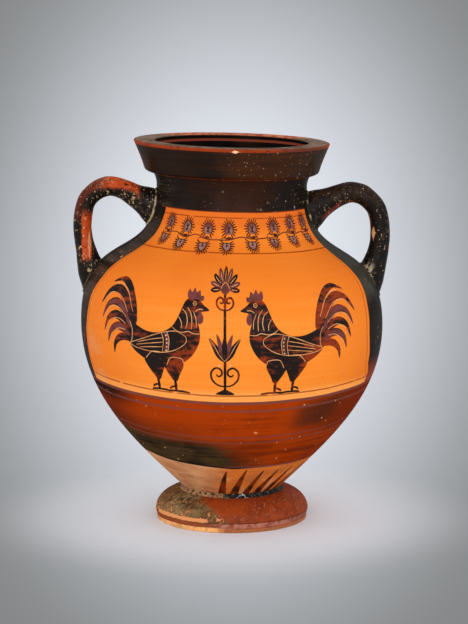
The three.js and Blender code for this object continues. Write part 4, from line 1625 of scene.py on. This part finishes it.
def build_stage():
    """Floor, soft room light, four soft lamps and the camera."""
    select()
    bpy.ops.mesh.primitive_circle_add(vertices=96, radius=FLOOR_REACH, fill_type="NGON")
    floor = named("stage_floor")
    open_mesh()
    bpy.ops.mesh.inset(thickness=FLOOR_REACH * 0.8)
    bpy.ops.object.mode_set(mode="OBJECT")
    floor.data.materials.append(floor_finish())
    scene = bpy.context.scene
    scene.world = room()

    for place, aim, breadth, power in LAMPS:
        bpy.ops.object.light_add(type="AREA", location=place)
        lamp = bpy.context.object
        lamp.data.shape = "DISK"
        lamp.data.size = breadth
        lamp.data.energy = power
        way = Vector((0, 0, aim)) - Vector(place)
        lamp.rotation_euler = way.to_track_quat("-Z", "Y").to_euler()

    tilt = math.pi / 2 - math.atan(CAMERA_DROP / -CAMERA_PLACE[1])
    bpy.ops.object.camera_add(location=CAMERA_PLACE, rotation=(tilt, 0, 0))
    scene.camera = bpy.context.object
    scene.camera.data.sensor_width = CAMERA_SENSOR
    scene.camera.data.lens = CAMERA_LENS
    scene.view_settings.view_transform = "Standard"


# ------------------------------------------------------------------ the add-on

class AMPHORA_OT_stage(bpy.types.Operator):
    """Builds the floor, the room's light, the lamps and the camera"""
    bl_idname = "amphora.stage"
    bl_label = "Stage"

    def execute(self, context):
        build_stage()
        return {"FINISHED"}


class AMPHORA_OT_foot(bpy.types.Operator):
    """Turns the foot"""
    bl_idname = "amphora.foot"
    bl_label = "Foot"

    def execute(self, context):
        build_foot()
        return {"FINISHED"}


class AMPHORA_OT_foot_joint(bpy.types.Operator):
    """Smears clay and slip round the joint of foot and bowl"""
    bl_idname = "amphora.foot_joint"
    bl_label = "Foot joint"

    def execute(self, context):
        build_foot_joint()
        return {"FINISHED"}


class AMPHORA_OT_bowl(bpy.types.Operator):
    """Turns the lower body"""
    bl_idname = "amphora.bowl"
    bl_label = "Bowl"

    def execute(self, context):
        build_bowl()
        return {"FINISHED"}


class AMPHORA_OT_upper_body(bpy.types.Operator):
    """Turns the shoulder"""
    bl_idname = "amphora.upper_body"
    bl_label = "Upper body"

    def execute(self, context):
        size = sizes()
        build_wall("upper_body", size.bowl_seam, size.neck_seam, BEVEL_RISE,
                   ["body", "inner clay"])
        return {"FINISHED"}


class AMPHORA_OT_neck(bpy.types.Operator):
    """Turns the neck"""
    bl_idname = "amphora.neck"
    bl_label = "Neck"

    def execute(self, context):
        size = sizes()
        build_wall("neck", size.neck_seam, size.mouth_seam, 0.0, ["neck", "inner slip"])
        return {"FINISHED"}


class AMPHORA_OT_mouth(bpy.types.Operator):
    """Turns the mouth"""
    bl_idname = "amphora.mouth"
    bl_label = "Mouth"

    def execute(self, context):
        build_mouth()
        return {"FINISHED"}


class AMPHORA_OT_coils(bpy.types.Operator):
    """Presses clay into the seams from inside"""
    bl_idname = "amphora.coils"
    bl_label = "Seam coils"

    def execute(self, context):
        build_coils()
        return {"FINISHED"}


class AMPHORA_OT_handles(bpy.types.Operator):
    """Pulls the two handles"""
    bl_idname = "amphora.handles"
    bl_label = "Handles"

    def execute(self, context):
        build_handles()
        return {"FINISHED"}


class AMPHORA_OT_collars(bpy.types.Operator):
    """Rolls clay round the roots of the handles"""
    bl_idname = "amphora.collars"
    bl_label = "Handle collars"

    def execute(self, context):
        build_collars()
        return {"FINISHED"}


class AMPHORA_OT_palmettes(bpy.types.Operator):
    """Paints the palmette chains of front and back"""
    bl_idname = "amphora.palmettes"
    bl_label = "Palmette bands"

    def execute(self, context):
        build_palmettes()
        return {"FINISHED"}


class AMPHORA_OT_figures(bpy.types.Operator):
    """Paints the roosters and the tree of the front"""
    bl_idname = "amphora.figures"
    bl_label = "Front figures"

    def execute(self, context):
        build_front_figures()
        return {"FINISHED"}


class AMPHORA_OT_ornament(bpy.types.Operator):
    """Paints the ornament of the back"""
    bl_idname = "amphora.ornament"
    bl_label = "Back ornament"

    def execute(self, context):
        build_back_ornament()
        return {"FINISHED"}


class AMPHORA_OT_rays(bpy.types.Operator):
    """Paints the rays above the foot"""
    bl_idname = "amphora.rays"
    bl_label = "Rays"

    def execute(self, context):
        build_rays()
        return {"FINISHED"}


OPERATORS = [
    AMPHORA_OT_stage, AMPHORA_OT_foot, AMPHORA_OT_foot_joint, AMPHORA_OT_bowl,
    AMPHORA_OT_upper_body, AMPHORA_OT_neck, AMPHORA_OT_mouth, AMPHORA_OT_coils,
    AMPHORA_OT_handles, AMPHORA_OT_collars, AMPHORA_OT_palmettes, AMPHORA_OT_figures,
    AMPHORA_OT_ornament, AMPHORA_OT_rays]


class AMPHORA_PT_panel(bpy.types.Panel):
    """Lists the steps that build the amphora"""
    bl_label = "Amphora"
    bl_idname = "AMPHORA_PT_panel"
    bl_space_type = "VIEW_3D"
    bl_region_type = "UI"
    bl_category = "Amphora"

    def draw(self, context):
        for step in OPERATORS:
            self.layout.operator(step.bl_idname)


CLASSES = [AmphoraSizes, AmphoraColours, AmphoraOrnament, *OPERATORS, AMPHORA_PT_panel]


def register():
    for cls in CLASSES:
        bpy.utils.register_class(cls)
    bpy.types.Scene.amphora_sizes = PointerProperty(type=AmphoraSizes)
    bpy.types.Scene.amphora_colours = PointerProperty(type=AmphoraColours)
    bpy.types.Scene.amphora_ornament = PointerProperty(type=AmphoraOrnament)


def unregister():
    del bpy.types.Scene.amphora_sizes
    del bpy.types.Scene.amphora_colours
    del bpy.types.Scene.amphora_ornament
    for cls in reversed(CLASSES):
        bpy.utils.unregister_class(cls)


def main():
    register()
    bpy.ops.object.select_all(action="DESELECT")
    for step in OPERATORS:
        getattr(bpy.ops.amphora, step.bl_idname.split(".")[1])()
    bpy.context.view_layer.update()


if __name__ == "__main__":
    main()
